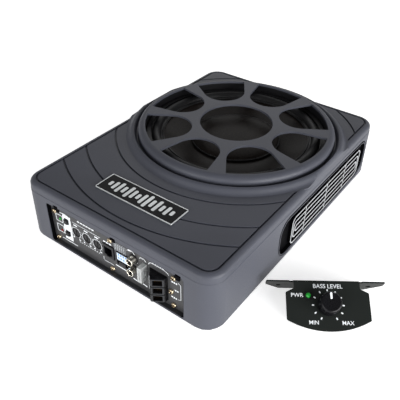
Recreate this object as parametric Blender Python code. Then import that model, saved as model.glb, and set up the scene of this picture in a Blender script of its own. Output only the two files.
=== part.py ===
"""A powered under-seat car subwoofer with its wired level control.

Metres, +Z up, the connector panel facing -Y. The die-cast housing stands on its base plate. A shallow woofer
looks up through the grille, and an amplifier board lies in the front half of the box. The level control stands
on the floor beside the box.
"""

import math

import bmesh
import bpy
from mathutils import Matrix, Vector

MM = 0.001
GAP = 0.3 * MM

# Housing
WIDTH = 245 * MM
LENGTH = 345 * MM
TOP_Z = 70.5 * MM
WALL = 3 * MM
CORNER_RADIUS = 20.7 * MM
TOP_FILLET = 5 * MM
TOP_TAPER = 1.2 * MM
RIM_Z = 1.8 * MM
BASE_THICKNESS = RIM_Z - GAP
BASE_INSET = 2.4 * MM
SIDE_X = WIDTH / 2
FRONT_Y = -LENGTH / 2
CEILING_Z = TOP_Z - WALL
FOOT_FILLET = 2.8 * MM
POST_LOW = RIM_Z + 0.4 * MM

# Grille and the raised collar that it drops into
RING_Y = 43.3 * MM
RING_Z = 82.6 * MM
GRILLE_RADIUS = 113.9 * MM
GRILLE_PLATE = 2.5 * MM
GRILLE_HOLE = 42.3 * MM
SKIRT_INNER = 106.2 * MM
WINDOW_COUNT = 8
WINDOW_OUTER = 105.7 * MM
WINDOW_OUTER_HALF = 17.2
WINDOW_INNER_CENTRE = 78 * MM
WINDOW_INNER = 26 * MM
COLLAR_OUTER = 127 * MM
COLLAR_CREST = 76.5 * MM
COLLAR_GROOVE = 73.6 * MM
LEDGE_Z = 67 * MM
LEDGE_INNER = 97 * MM
LEDGE_THICKNESS = 3.5 * MM
WOOFER = (0, RING_Y, 0)

# Woofer
FLANGE_RADIUS = 104.5 * MM
CONE_RADIUS = 88 * MM
DUST_CAP_RADIUS = 51 * MM
POLE_RADIUS = 17.8 * MM
YOKE_RADIUS = 40 * MM
MAGNET_RADIUS = 44 * MM
MAGNET_HOLE = 24 * MM
FRONT_PLATE_BORE = 20.3 * MM
FORMER_INNER = 18.4 * MM
FORMER_OUTER = 18.7 * MM
WINDING_INNER = 18.95 * MM
WINDING_OUTER = 19.75 * MM
SPIDER_RADIUS = 54 * MM
YOKE_Z = 8 * MM
YOKE_TOP = 14 * MM
MAGNET_TOP = 26 * MM
POLE_TOP = 31 * MM
BASKET_FLOOR = POLE_TOP + GAP
BASKET_SHEET = 2 * MM
SPIDER_SEAT = 43.5 * MM
BASKET_WINDOWS = 6

# Control panel, set back in the front opening
OPENING_LEFT = -87 * MM
OPENING_RIGHT = 89.7 * MM
OPENING_LOW = 4.5 * MM
OPENING_HIGH = 55 * MM
PANEL_LAP = 4 * MM
PANEL_Y = FRONT_Y + 5.5 * MM
PANEL_THICKNESS = 2 * MM
PANEL_BACK = PANEL_Y + PANEL_THICKNESS
PANEL_LOW = 2.6 * MM
SCREW_PLACES = (
    (-81.6 * MM, 44.3 * MM),
    (-81.4 * MM, 9 * MM),
    (-2.9 * MM, 46.5 * MM),
    (-2.9 * MM, 9 * MM),
    (75 * MM, 44.3 * MM),
    (75.2 * MM, 9 * MM),
    (72.2 * MM, 25.6 * MM),
)
SCREW_HEAD = 2.9 * MM
SCREW_SHANK = 1.4 * MM
SCREW_HOLE = (SCREW_SHANK + GAP, -12 * MM, 1 * MM)
POT_X = (-52.1 * MM, -37.1 * MM, -22.2 * MM)
POT_Z = 29.9 * MM
POT_NAMES = ("level_pot", "bass_pot", "crossover_pot")
POT_KNOB_RADIUS = 4.7 * MM
BUTTON_X = -65 * MM
BUTTON_Z = {"phase_button": 38 * MM, "power_mode_button": 22 * MM}
BUTTON_SIDE = 5.5 * MM
LED_X = -74 * MM
LED_RADIUS = 1.5 * MM
LED_Z = {"power_led": 37.4 * MM, "protection_led": 21.8 * MM}
RCA_X = 27 * MM
RCA_Z = (40 * MM, 26.2 * MM)
RCA_REACH = 7 * MM
FUSE_X = 40.4 * MM
FUSE_SIZE = (5.1 * MM, 18.5 * MM)
FUSE_Z = 32 * MM
FUSE_REACH = 8 * MM
FUSE_BLADES = 10 * MM
BACK_DEPTH = 14 * MM
SOCKETS = (
    ("remote_jack", -13.5 * MM, 1.2 * MM, 22.6 * MM, 38.8 * MM),
    ("speaker_input", 4.6 * MM, 20.6 * MM, 21 * MM, 37.6 * MM),
)
SOCKET_REACH = 1.2 * MM
TERMINAL_BOX = (46.8 * MM, 67.8 * MM, 10.6 * MM, 41 * MM)
TERMINAL_CORNER = (56 * MM, PANEL_Y - 11.4 * MM)
TERMINAL_SHOULDER = PANEL_Y - 3.5 * MM
TERMINAL_ENTRY = (8.6 * MM, 16 * MM, 6.6 * MM)
FACING_FRONT = (math.pi / 2, 0, 0)

# Side vents
VENT_FRONT = -59 * MM
VENT_REAR = 152 * MM
VENT_LOW = 7.8 * MM
VENT_HIGH = 56.6 * MM
VENT_RADIUS = 18 * MM
VENT_DEPTH = 5 * MM
VENT_LAP = 3 * MM
SLAT_COUNT = 6
SLAT_PITCH = 7 * MM
SLAT_TOP = 45.5 * MM
SLOT_HEIGHT = 3.6 * MM
VENT_DIVIDERS = (-1 * MM, 49 * MM, 97 * MM)
DIVIDER_WIDTH = 3 * MM
SLATS_FRONT = -30.5 * MM
SLATS_REAR = 137 * MM

# Amplifier board
BOARD_Z = 8 * MM
BOARD_THICKNESS = 1.6 * MM
BOARD_TOP = BOARD_Z + BOARD_THICKNESS
BOARD_SIZE = (196 * MM, 88 * MM)
BOARD_CENTRE_Y = -112 * MM

# Badge on the top
BADGE_CENTRE = (-1.3 * MM, -122.7 * MM)
BADGE_SIZE = (98.5 * MM, 27 * MM)
BADGE_THICKNESS = 1.2 * MM

# Level control, leaning on the floor on its lower edge and the rear edge of its flange
REMOTE_FOOT = (203.5 * MM, -100.5 * MM)
REMOTE_TURN = math.radians(35.9)
REMOTE_WIDTH = 78 * MM
REMOTE_HEIGHT = 48 * MM
REMOTE_SHOULDER = 36 * MM
REMOTE_CORNER = 10.2 * MM
REMOTE_SHEET = 1.5 * MM
REMOTE_FLANGE = 26.2 * MM
REMOTE_EARS = 112.5 * MM
EAR_TOP = -2.4 * MM
EAR_HOLE = (43.5 * MM, -14.5 * MM)
REMOTE_LEAN = math.atan2(REMOTE_FLANGE - REMOTE_SHEET, REMOTE_HEIGHT - REMOTE_SHEET)
REMOTE_LIFT = REMOTE_SHEET * math.cos(REMOTE_LEAN) + 0.05 * MM
REMOTE_KNOB_Y = 24 * MM
REMOTE_KNOB_RADIUS = 10.4 * MM
REMOTE_LED = (-18.2 * MM, 33 * MM)

TURN_STEPS = 36
RING_STEPS = 56
SMALL_STEPS = 12
UP = Vector((0, 0, 1))


def clear_scene():
    for obj in list(bpy.data.objects):
        bpy.data.objects.remove(obj, do_unlink=True)


def material(name, colour, roughness, metallic=0.0):
    made = bpy.data.materials.get(name)
    if made:
        return made
    made = bpy.data.materials.new(name)
    made.use_nodes = True
    shader = made.node_tree.nodes["Principled BSDF"]
    shader.inputs["Base Color"].default_value = (*colour, 1)
    shader.inputs["Roughness"].default_value = roughness
    shader.inputs["Metallic"].default_value = metallic
    return made


def coated_metal():
    return material("coated_casting", (0.075, 0.078, 0.088), 0.45, 0.3)


def black_plastic():
    return material("black_plastic", (0.012, 0.012, 0.013), 0.45)


def black_paper():
    return material("cone_paper", (0.02, 0.017, 0.015), 0.6)


def black_rubber():
    return material("rubber", (0.015, 0.015, 0.016), 0.55)


def plated_steel():
    return material("plated_steel", (0.62, 0.58, 0.5), 0.3, 1)


def bright_nickel():
    return material("nickel", (0.8, 0.78, 0.74), 0.2, 1)


def copper():
    return material("copper", (0.72, 0.33, 0.16), 0.35, 1)


def aluminium():
    return material("aluminium", (0.7, 0.71, 0.72), 0.35, 1)


def ferrite():
    return material("ferrite", (0.04, 0.04, 0.043), 0.7)


def board_green():
    return material("circuit_board", (0.02, 0.11, 0.05), 0.4)


def place(name, mesh_source, finish, at=(0, 0, 0), turn=None, parent=None):
    """Makes a mesh object from a bmesh, with its normals facing out and its round sides smooth."""
    bmesh.ops.recalc_face_normals(mesh_source, faces=mesh_source.faces)
    mesh = bpy.data.meshes.new(name)
    mesh_source.to_mesh(mesh)
    mesh_source.free()
    mesh.shade_smooth()
    mesh.set_sharp_from_angle(angle=math.radians(35))
    mesh.materials.append(finish)
    obj = bpy.data.objects.new(name, mesh)
    bpy.context.scene.collection.objects.link(obj)
    obj.location = at
    if turn:
        obj.rotation_euler = turn
    if parent:
        obj.parent = parent
    return obj


def loft(sections):
    """A closed bmesh through rings of the same number of points, capped at both ends."""
    bm = bmesh.new()
    rings = [[bm.verts.new(point) for point in section] for section in sections]
    for low, high in zip(rings, rings[1:]):
        for i in range(len(low)):
            j = (i + 1) % len(low)
            bm.faces.new((low[i], low[j], high[j], high[i]))
    bm.faces.new(rings[0][::-1])
    bm.faces.new(rings[-1])
    return bm


def prism(outline, low, high):
    return loft([[(x, y, z) for x, y in outline] for z in (low, high)])


def block(size, centre=(0, 0, 0)):
    bm = bmesh.new()
    bmesh.ops.create_cube(bm, size=1)
    bmesh.ops.scale(bm, vec=size, verts=bm.verts)
    bmesh.ops.translate(bm, vec=centre, verts=bm.verts)
    return bm


def turned(profile, steps=TURN_STEPS):
    """A closed profile of (radius, z) points swept round Z. Points at radius 0 become poles."""
    bm = bmesh.new()
    rings = []
    for radius, z in profile:
        if radius == 0:
            rings.append([bm.verts.new((0, 0, z))])
            continue
        angles = [2 * math.pi * i / steps for i in range(steps)]
        rings.append([bm.verts.new((radius * math.cos(a), radius * math.sin(a), z)) for a in angles])
    for ring, following in zip(rings, rings[1:] + rings[:1]):
        if len(ring) == 1 and len(following) == 1:
            continue
        for i in range(steps):
            j = (i + 1) % steps
            corners = [ring[i % len(ring)], ring[j % len(ring)], following[j % len(following)]]
            corners.append(following[i % len(following)])
            bm.faces.new(list(dict.fromkeys(corners)))
    return bm


def disc(radius, low, high, steps=20):
    return turned([(0, low), (radius, low), (radius, high), (0, high)], steps)


def arc(centre, radius, start, end, steps):
    """Points of a circular arc, the angles in degrees."""
    angles = [math.radians(start + (end - start) * i / steps) for i in range(steps + 1)]
    return [(centre[0] + radius * math.cos(a), centre[1] + radius * math.sin(a)) for a in angles]


def rounded(left, right, low, high, radius, steps=4):
    """A rectangle with round corners, counterclockwise."""
    points = []
    corners = ((right, high, 0), (left, high, 90), (left, low, 180), (right, low, 270))
    for x, y, start in corners:
        inward = (radius if x == left else -radius, radius if y == low else -radius)
        points += arc((x + inward[0], y + inward[1]), radius, start, start + 90, steps)
    return points


def footprint(inset, z, steps=4):
    """The housing's plan outline at a height, drawn in by an inset."""
    half = SIDE_X - inset
    end = LENGTH / 2 - inset
    outline = rounded(-half, half, -end, end, CORNER_RADIUS - min(inset, CORNER_RADIUS * 0.6), steps)
    return [(x, y, z) for x, y in outline]


def boolean(target, cutter, operation):
    cutter.hide_render = True
    cutter.display_type = "WIRE"
    modifier = target.modifiers.new(cutter.name, "BOOLEAN")
    modifier.object = cutter
    modifier.operation = operation
    modifier.solver = "EXACT"


def cut(target, name, shape, at=(0, 0, 0), turn=None, parent=None):
    boolean(target, place(f"{name}_cutter", shape, target.active_material, at, turn, parent), "DIFFERENCE")


def join(target, name, shape, at=(0, 0, 0), turn=None, parent=None):
    boolean(target, place(f"{name}_joined", shape, target.active_material, at, turn, parent), "UNION")


def on_panel(x, z):
    """A place on the panel's face, for a piece drawn along +Z that FACING_FRONT turns to look along -Y."""
    return (x, PANEL_Y, z)


def collar_shape():
    """The ledge, the groove and the raised crest round the grille, kept within the housing's sides."""
    crest_inner = GRILLE_RADIUS + 3.6 * MM
    profile = [
        (LEDGE_INNER, LEDGE_Z - LEDGE_THICKNESS),
        (GRILLE_RADIUS + 5 * MM, LEDGE_Z - LEDGE_THICKNESS),
        (COLLAR_OUTER, CEILING_Z + 1 * MM),
        (COLLAR_OUTER, TOP_Z),
        (COLLAR_OUTER - 6 * MM, COLLAR_CREST),
        (crest_inner, COLLAR_CREST),
        (crest_inner - 0.6 * MM, COLLAR_GROOVE),
        (GRILLE_RADIUS + GAP, COLLAR_GROOVE),
        (GRILLE_RADIUS + GAP, LEDGE_Z),
        (LEDGE_INNER, LEDGE_Z),
    ]
    return turned(profile, RING_STEPS)


def make_housing():
    low = FOOT_FILLET
    sections = [
        footprint(low, RIM_Z),
        footprint(low * 0.3, RIM_Z + low * 0.3),
        footprint(0, RIM_Z + low),
        footprint(TOP_TAPER, TOP_Z - TOP_FILLET),
        footprint(TOP_TAPER + TOP_FILLET * 0.3, TOP_Z - TOP_FILLET * 0.3),
        footprint(TOP_TAPER + TOP_FILLET, TOP_Z),
    ]
    housing = place("housing", loft(sections), coated_metal())
    inside = [
        footprint(low + WALL, 0),
        footprint(WALL, RIM_Z + low),
        footprint(WALL + TOP_TAPER, CEILING_Z),
    ]
    cut(housing, "housing_inside", loft(inside))
    opening = disc(GRILLE_RADIUS + 1 * MM, CEILING_Z - 2 * MM, TOP_Z + 2 * MM, RING_STEPS)
    cut(housing, "grille_opening", opening, WOOFER)
    collar = place("collar_joined", collar_shape(), coated_metal(), WOOFER)
    sides = loft([footprint(TOP_TAPER, z) for z in (LEDGE_Z - 10 * MM, 90 * MM)])
    keep = place("collar_keep", sides, coated_metal())
    boolean(collar, keep, "INTERSECT")
    boolean(housing, collar, "UNION")
    rim_depth = PANEL_Y - FRONT_Y
    at = (0, FRONT_Y, 0)
    rim = rounded(
        OPENING_LEFT - PANEL_LAP, OPENING_RIGHT + PANEL_LAP, PANEL_LOW, OPENING_HIGH + PANEL_LAP, 3 * MM
    )
    join(housing, "panel_rim", prism(rim, -(rim_depth - GAP), -1 * MM), at, FACING_FRONT)
    for x, z in SCREW_PLACES[0:6:2]:
        lug = block((11 * MM, 6 * MM, TOP_Z - z + 4 * MM), (0, 0, (TOP_Z - z - 6 * MM) / 2))
        join(housing, f"panel_lug_{x:.3f}", lug, (x, PANEL_BACK + 3 * MM + GAP, z))
    front = rounded(OPENING_LEFT, OPENING_RIGHT, OPENING_LOW, OPENING_HIGH, 3 * MM)
    cut(housing, "panel_opening", prism(front, -(rim_depth + 1 * MM), 10 * MM), at, FACING_FRONT)
    for x, z in SCREW_PLACES[0:6:2]:
        cut(housing, f"lug_hole_{x:.3f}", disc(*SCREW_HOLE, 12), (x, PANEL_Y, z), FACING_FRONT)
    vent = rounded(VENT_FRONT, VENT_REAR, VENT_LOW, VENT_HIGH, VENT_RADIUS)
    for side in (-1, 1):
        through = [[(side * x, y, z) for y, z in vent] for x in (SIDE_X - 12 * MM, SIDE_X + 5 * MM)]
        cut(housing, f"vent_opening_{side + 1}", loft(through))
    for x, y in base_screw_places():
        post = [(SCREW_SHANK + GAP, POST_LOW), (5 * MM, POST_LOW), (5 * MM, CEILING_Z + 1 * MM)]
        post += [(0, CEILING_Z + 1 * MM), (0, 16 * MM), (SCREW_SHANK + GAP, 16 * MM)]
        join(housing, f"post_{x:.3f}_{y:.3f}", turned(post, 12), (x, y, 0))


def base_screw_places():
    x = SIDE_X - 15.5 * MM
    y = LENGTH / 2 - 14 * MM
    return [(sx * x, sy * y) for sx in (-1, 1) for sy in (-1, 1)]


def make_base_plate():
    sheet = loft([footprint(BASE_INSET, z) for z in (0, BASE_THICKNESS)])
    plate = place("base_plate", sheet, coated_metal())
    for x, z in SCREW_PLACES[1:6:2]:
        tab = block((11 * MM, 3 * MM, z + 5 * MM), (0, 0, (z + 5 * MM) / 2 + 0.2 * MM))
        join(plate, f"panel_tab_{x:.3f}", tab, (x, PANEL_BACK + 1.5 * MM + GAP, 0))
        cut(plate, f"tab_hole_{x:.3f}", disc(*SCREW_HOLE, 12), (x, PANEL_Y, z), FACING_FRONT)
    for sx in (-1, 1):
        for sy in (-1, 1):
            x = sx * (BOARD_SIZE[0] / 2 - 8 * MM)
            y = BOARD_CENTRE_Y + sy * (BOARD_SIZE[1] / 2 - 8 * MM)
            standoff = disc(3.5 * MM, 0.5 * MM, BOARD_Z - GAP, 12)
            join(plate, f"standoff_{x:.3f}_{y:.3f}", standoff, (x, y, 0))
    join(plate, "magnet_seat", disc(YOKE_RADIUS - 4 * MM, 0.5 * MM, YOKE_Z - GAP, 32), WOOFER)
    for index, (x, y) in enumerate(base_screw_places(), 1):
        cut(plate, f"base_hole_{index}", disc(3.2 * MM, -1 * MM, 3 * MM, SMALL_STEPS), (x, y, 0))
        screw = [(0, 0.2 * MM), (2.9 * MM, 0.2 * MM), (2.9 * MM, 1.2 * MM)]
        screw += [(SCREW_SHANK, 1.5 * MM), (SCREW_SHANK, 11 * MM), (0, 11 * MM)]
        place(f"base_screw_{index}", turned(screw, SMALL_STEPS), plated_steel(), (x, y, 0))


def window_outline():
    """One petal between two spokes, along +X: the ring's own arc, then a wide round inner end."""
    outer = arc((0, 0), WINDOW_OUTER, -WINDOW_OUTER_HALF, WINDOW_OUTER_HALF, 4)
    return outer + arc((WINDOW_INNER_CENTRE, 0), WINDOW_INNER, 100, 260, 8)


def make_grille():
    shoulder = arc((GRILLE_RADIUS - 6 * MM, RING_Z - 6 * MM), 6 * MM, 0, 90, 3)
    profile = [(GRILLE_HOLE, RING_Z - GRILLE_PLATE), (SKIRT_INNER, RING_Z - GRILLE_PLATE)]
    profile += [(SKIRT_INNER, LEDGE_Z + GAP), (GRILLE_RADIUS, LEDGE_Z + GAP)] + shoulder
    profile += [(GRILLE_HOLE, RING_Z)]
    grille = place("grille", turned(profile, RING_STEPS), coated_metal(), WOOFER)
    for index in range(WINDOW_COUNT):
        shape = prism(window_outline(), RING_Z - 6 * MM, RING_Z + 2 * MM)
        cut(grille, f"grille_window_{index}", shape, WOOFER, (0, 0, 2 * math.pi * index / WINDOW_COUNT))


def make_motor():
    yoke = [(5 * MM, YOKE_Z), (YOKE_RADIUS, YOKE_Z), (YOKE_RADIUS, YOKE_TOP)]
    yoke += [(POLE_RADIUS, YOKE_TOP), (POLE_RADIUS, POLE_TOP), (5 * MM, POLE_TOP)]
    place("magnet_yoke", turned(yoke), plated_steel(), WOOFER)
    ring_tube = [(MAGNET_HOLE, YOKE_TOP + GAP), (MAGNET_RADIUS, YOKE_TOP + GAP)]
    ring_tube += [(MAGNET_RADIUS, MAGNET_TOP), (MAGNET_HOLE, MAGNET_TOP)]
    place("magnet", turned(ring_tube), ferrite(), WOOFER)
    plate = [(FRONT_PLATE_BORE, MAGNET_TOP + GAP), (YOKE_RADIUS, MAGNET_TOP + GAP)]
    plate += [(YOKE_RADIUS, POLE_TOP), (FRONT_PLATE_BORE, POLE_TOP)]
    place("magnet_front_plate", turned(plate), plated_steel(), WOOFER)


def make_basket():
    top_z = LEDGE_Z + GAP + BASKET_SHEET
    under = [(23 * MM, BASKET_FLOOR), (38 * MM, BASKET_FLOOR), (47 * MM, SPIDER_SEAT - BASKET_SHEET)]
    under += [(56 * MM, SPIDER_SEAT - BASKET_SHEET), (82 * MM, 50 * MM), (94.8 * MM, 58.8 * MM)]
    under += [(96.3 * MM, LEDGE_Z + GAP), (FLANGE_RADIUS, LEDGE_Z + GAP)]
    over = [(FLANGE_RADIUS, top_z), (94.2 * MM, top_z), (92.8 * MM, 60 * MM), (80.6 * MM, 51.8 * MM)]
    over += [(55.6 * MM, SPIDER_SEAT)]
    floor_top = BASKET_FLOOR + BASKET_SHEET
    over += [(46 * MM, SPIDER_SEAT), (37.2 * MM, floor_top), (23 * MM, floor_top)]
    basket = place("woofer_basket", turned(under + over), coated_metal(), WOOFER)
    for index in range(BASKET_WINDOWS):
        half = 20
        window = arc((0, 0), 86 * MM, -half, half, 3) + arc((0, 0), 61 * MM, half, -half, 3)
        turn = (0, 0, 2 * math.pi * (index + 0.5) / BASKET_WINDOWS - math.pi / 2)
        cut(basket, f"basket_window_{index}", prism(window, 35 * MM, 66 * MM), WOOFER, turn)


def cone_height(radius):
    """The cone's upper face at a radius."""
    return 56.2 * MM + (radius - 19 * MM) * 11.3 / 69


def make_moving_parts():
    """The pieces that travel together: voice coil, cone and dust cap. Their origins lie on the woofer's axis."""
    former = [(FORMER_INNER, 21 * MM), (FORMER_OUTER, 21 * MM)]
    former += [(FORMER_OUTER, 57 * MM), (FORMER_INNER, 57 * MM)]
    place("coil_former", turned(former), aluminium(), WOOFER)
    winding = [(WINDING_INNER, 21.5 * MM), (WINDING_OUTER, 21.5 * MM)]
    winding += [(WINDING_OUTER, 35.5 * MM), (WINDING_INNER, 35.5 * MM)]
    place("coil_winding", turned(winding), copper(), WOOFER)
    thick = 1.2 * MM
    neck = FORMER_OUTER + GAP
    cone = [(neck, cone_height(neck) - thick), (CONE_RADIUS, cone_height(CONE_RADIUS) - thick)]
    cone += [(CONE_RADIUS, cone_height(CONE_RADIUS)), (neck, cone_height(neck))]
    place("woofer_cone", turned(cone), black_paper(), WOOFER)
    edge = cone_height(DUST_CAP_RADIUS) + GAP
    rise = 7 * MM
    angles = [math.radians(22.5 * i) for i in range(4)]
    over = [(DUST_CAP_RADIUS * math.cos(a), edge + 1 * MM + rise * math.sin(a)) for a in angles]
    over.append((0, edge + 1 * MM + rise))
    under = [(r, z - 1 * MM) for r, z in reversed(over)]
    place("dust_cap", turned(over + under), black_paper(), WOOFER)


def make_suspension():
    """The spider and the surround, which bend as the cone moves."""
    low = SPIDER_SEAT + GAP
    waves = [(19 * MM, 2), (25 * MM, 0), (31 * MM, 2), (37 * MM, 0)]
    waves += [(42 * MM, 2), (46.5 * MM, 0), (SPIDER_RADIUS, 0)]
    under = [(r, low + h * MM) for r, h in waves]
    over = [(r, z + 0.8 * MM) for r, z in reversed(under)]
    place("spider", turned(under + over, 24), material("spider_cloth", (0.5, 0.36, 0.18), 0.8), WOOFER)
    lip_inner = cone_height(CONE_RADIUS) + GAP
    lip_outer = LEDGE_Z + BASKET_SHEET + 2 * GAP
    thick = 0.9 * MM
    middle = CONE_RADIUS + 5.2 * MM
    roll_over = [(middle + x, lip_inner + 1 * MM + y) for x, y in arc((0, 0), 5.2 * MM, 170, 10, 5)]
    roll_under = [(middle + x, lip_inner + 1 * MM + y) for x, y in arc((0, 0), 4.3 * MM, 10, 170, 5)]
    profile = [(84 * MM, lip_inner), (84 * MM, lip_inner + thick)] + roll_over
    profile += [(FLANGE_RADIUS, lip_outer + thick), (FLANGE_RADIUS, lip_outer)] + roll_under
    place("surround", turned(profile), black_rubber(), WOOFER)
    seat = lip_outer + thick + GAP
    gasket = [(99.4 * MM, seat), (FLANGE_RADIUS, seat)]
    gasket += [(FLANGE_RADIUS, seat + 1.5 * MM), (99.4 * MM, seat + 1.5 * MM)]
    place("surround_gasket", turned(gasket), black_rubber(), WOOFER)


def make_woofer_wiring():
    terminal_y = RING_Y - 53 * MM
    strip_height = 7 * MM
    strip_low = SPIDER_SEAT - BASKET_SHEET - GAP - strip_height
    strip = block((18 * MM, 9 * MM, strip_height), (0, terminal_y, strip_low + strip_height / 2))
    place("woofer_terminals", strip, black_plastic())
    leads = (
        ("speaker_lead_plus", 5 * MM, (0.5, 0.02, 0.02)),
        ("speaker_lead_minus", -5 * MM, (0.02, 0.02, 0.02)),
    )
    for name, x, colour in leads:
        corners = [
            Vector((x, terminal_y, strip_low - GAP)),
            Vector((x, terminal_y - 2 * MM, 24 * MM)),
            Vector((x, terminal_y - 20 * MM, 17 * MM)),
            Vector((x * 1.6, -66 * MM, 19 * MM)),
            Vector((x * 1.6, -76 * MM, 17 * MM)),
            Vector((x * 1.6, -78 * MM, BOARD_TOP + GAP)),
        ]
        tube(name, corners, 1.25 * MM, material(name, colour, 0.5))


def smooth_line(corners, steps=4):
    """A Hermite curve through the corners, each tangent taken from the corners beside it."""
    points = []
    ends = [corners[0], *corners, corners[-1]]
    for before, start, end, after in zip(ends, ends[1:], ends[2:], ends[3:]):
        leaving = (end - before) / 2
        arriving = (after - start) / 2
        for step in range(steps):
            t = step / steps
            swing = leaving * (t * (1 - t) ** 2) - arriving * (t * t * (1 - t))
            points.append(start.lerp(end, t * t * (3 - 2 * t)) + swing)
    return [*points, corners[-1]]


def tube(name, corners, radius, finish):
    """A round lead along a smooth curve through its corners."""
    points = smooth_line(corners)
    curve = bpy.data.curves.new(name, "CURVE")
    curve.dimensions = "3D"
    curve.bevel_depth = radius
    curve.bevel_resolution = 2
    curve.use_fill_caps = True
    spline = curve.splines.new("POLY")
    spline.points.add(len(points) - 1)
    for spline_point, point in zip(spline.points, points):
        spline_point.co = (*point, 1)
    curve.materials.append(finish)
    bpy.context.scene.collection.objects.link(bpy.data.objects.new(name, curve))


def make_panel():
    outline = rounded(
        OPENING_LEFT - PANEL_LAP + GAP,
        OPENING_RIGHT + PANEL_LAP - GAP,
        PANEL_LOW + GAP,
        OPENING_HIGH + PANEL_LAP - GAP,
        3 * MM,
    )
    steel = material("panel_steel", (0.05, 0.05, 0.055), 0.45, 0.4)
    sheet = prism(outline, -PANEL_THICKNESS, 0)
    panel = place("control_panel", sheet, steel, on_panel(0, 0), FACING_FRONT)
    deep = (-PANEL_THICKNESS - 1 * MM, 1 * MM)

    def hole(name, shape, x, z):
        cut(panel, name, shape, on_panel(x, z), FACING_FRONT)

    for index, (x, z) in enumerate(SCREW_PLACES, 1):
        hole(f"screw_hole_{index}", disc(SCREW_SHANK + GAP, *deep, 12), x, z)
        screw = [(0, 2 * MM), (1.8 * MM, 1.9 * MM), (SCREW_HEAD, 1.1 * MM), (SCREW_HEAD, GAP)]
        screw += [(SCREW_SHANK, GAP), (SCREW_SHANK, -6.5 * MM), (0, -6.5 * MM)]
        shape = turned(screw, SMALL_STEPS)
        place(f"panel_screw_{index}", shape, plated_steel(), on_panel(x, z), FACING_FRONT)
    for x in POT_X:
        hole(f"pot_hole_{x:.3f}", disc(POT_KNOB_RADIUS + 0.6 * MM, *deep), x, POT_Z)
    for name, z in BUTTON_Z.items():
        side = BUTTON_SIDE + 2 * GAP
        hole(f"{name}_hole", block((side, side, 8 * MM)), BUTTON_X, z)
    for name, z in LED_Z.items():
        hole(f"{name}_hole", disc(LED_RADIUS + GAP, *deep, 12), LED_X, z)
    for z in RCA_Z:
        hole(f"rca_hole_{z:.3f}", disc(4.2 * MM + GAP, *deep), RCA_X, z)
    fuse = (FUSE_SIZE[0] + 3 * GAP, FUSE_SIZE[1] + 3 * GAP, 8 * MM)
    hole("fuse_hole", block(fuse), FUSE_X, FUSE_Z)
    for name, left, right, low, high in SOCKETS:
        size = (right - left + 2 * GAP, high - low + 2 * GAP, 8 * MM)
        hole(f"{name}_hole", block(size), (left + right) / 2, (low + high) / 2)
    left, right, low, high = TERMINAL_BOX
    size = (right - left + 2 * GAP, high - low + 2 * GAP, 8 * MM)
    hole("terminal_hole", block(size), (left + right) / 2, (low + high) / 2)


def make_controls():
    board = block((66 * MM, 1.6 * MM, 34 * MM), (-47 * MM, PANEL_BACK + 12 * MM, 31 * MM))
    place("control_board", board, board_green())
    board_face = PANEL_BACK + 11.2 * MM - GAP
    for name, x in zip(POT_NAMES, POT_X):
        depth = board_face - PANEL_BACK - 1 * MM
        middle = (x, board_face - depth / 2, POT_Z)
        body = place(f"{name}_body", block((12 * MM, depth, 13 * MM)), black_plastic(), middle)
        cut(body, f"{name}_bore", disc(2.4 * MM, -9 * MM, 1 * MM, 16), (x, PANEL_BACK, POT_Z), FACING_FRONT)
        knob = [(0, -0.5 * MM), (POT_KNOB_RADIUS - 0.5 * MM, -0.5 * MM), (POT_KNOB_RADIUS, -1 * MM)]
        knob += [(POT_KNOB_RADIUS, -2.7 * MM), (2 * MM, -2.7 * MM), (2 * MM, -8 * MM), (0, -8 * MM)]
        at = on_panel(x, POT_Z)
        turning = place(f"{name}_knob", turned(knob, 20), black_plastic(), at, FACING_FRONT)
        cut(turning, f"{name}_slot", block((1.1 * MM, 6.4 * MM, 2 * MM)), at, FACING_FRONT)
    for name, z in BUTTON_Z.items():
        cap = block((BUTTON_SIDE, BUTTON_SIDE, 8.5 * MM), (0, 0, -2.05 * MM))
        button = place(name, cap, black_plastic(), on_panel(BUTTON_X, z), FACING_FRONT)
        bevel = button.modifiers.new("edge", "BEVEL")
        bevel.width = 0.5 * MM
        bevel.segments = 1
    glows = {"power_led": (0.02, 0.35, 0.08), "protection_led": (0.4, 0.01, 0.01)}
    for name, z in LED_Z.items():
        dome = [(0, -5 * MM), (LED_RADIUS, -5 * MM), *arc((0, 0), LED_RADIUS, 0, 60, 3), (0, LED_RADIUS)]
        lens = material(name, glows[name], 0.15)
        place(name, turned(dome, SMALL_STEPS), lens, on_panel(LED_X, z), FACING_FRONT)


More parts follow.
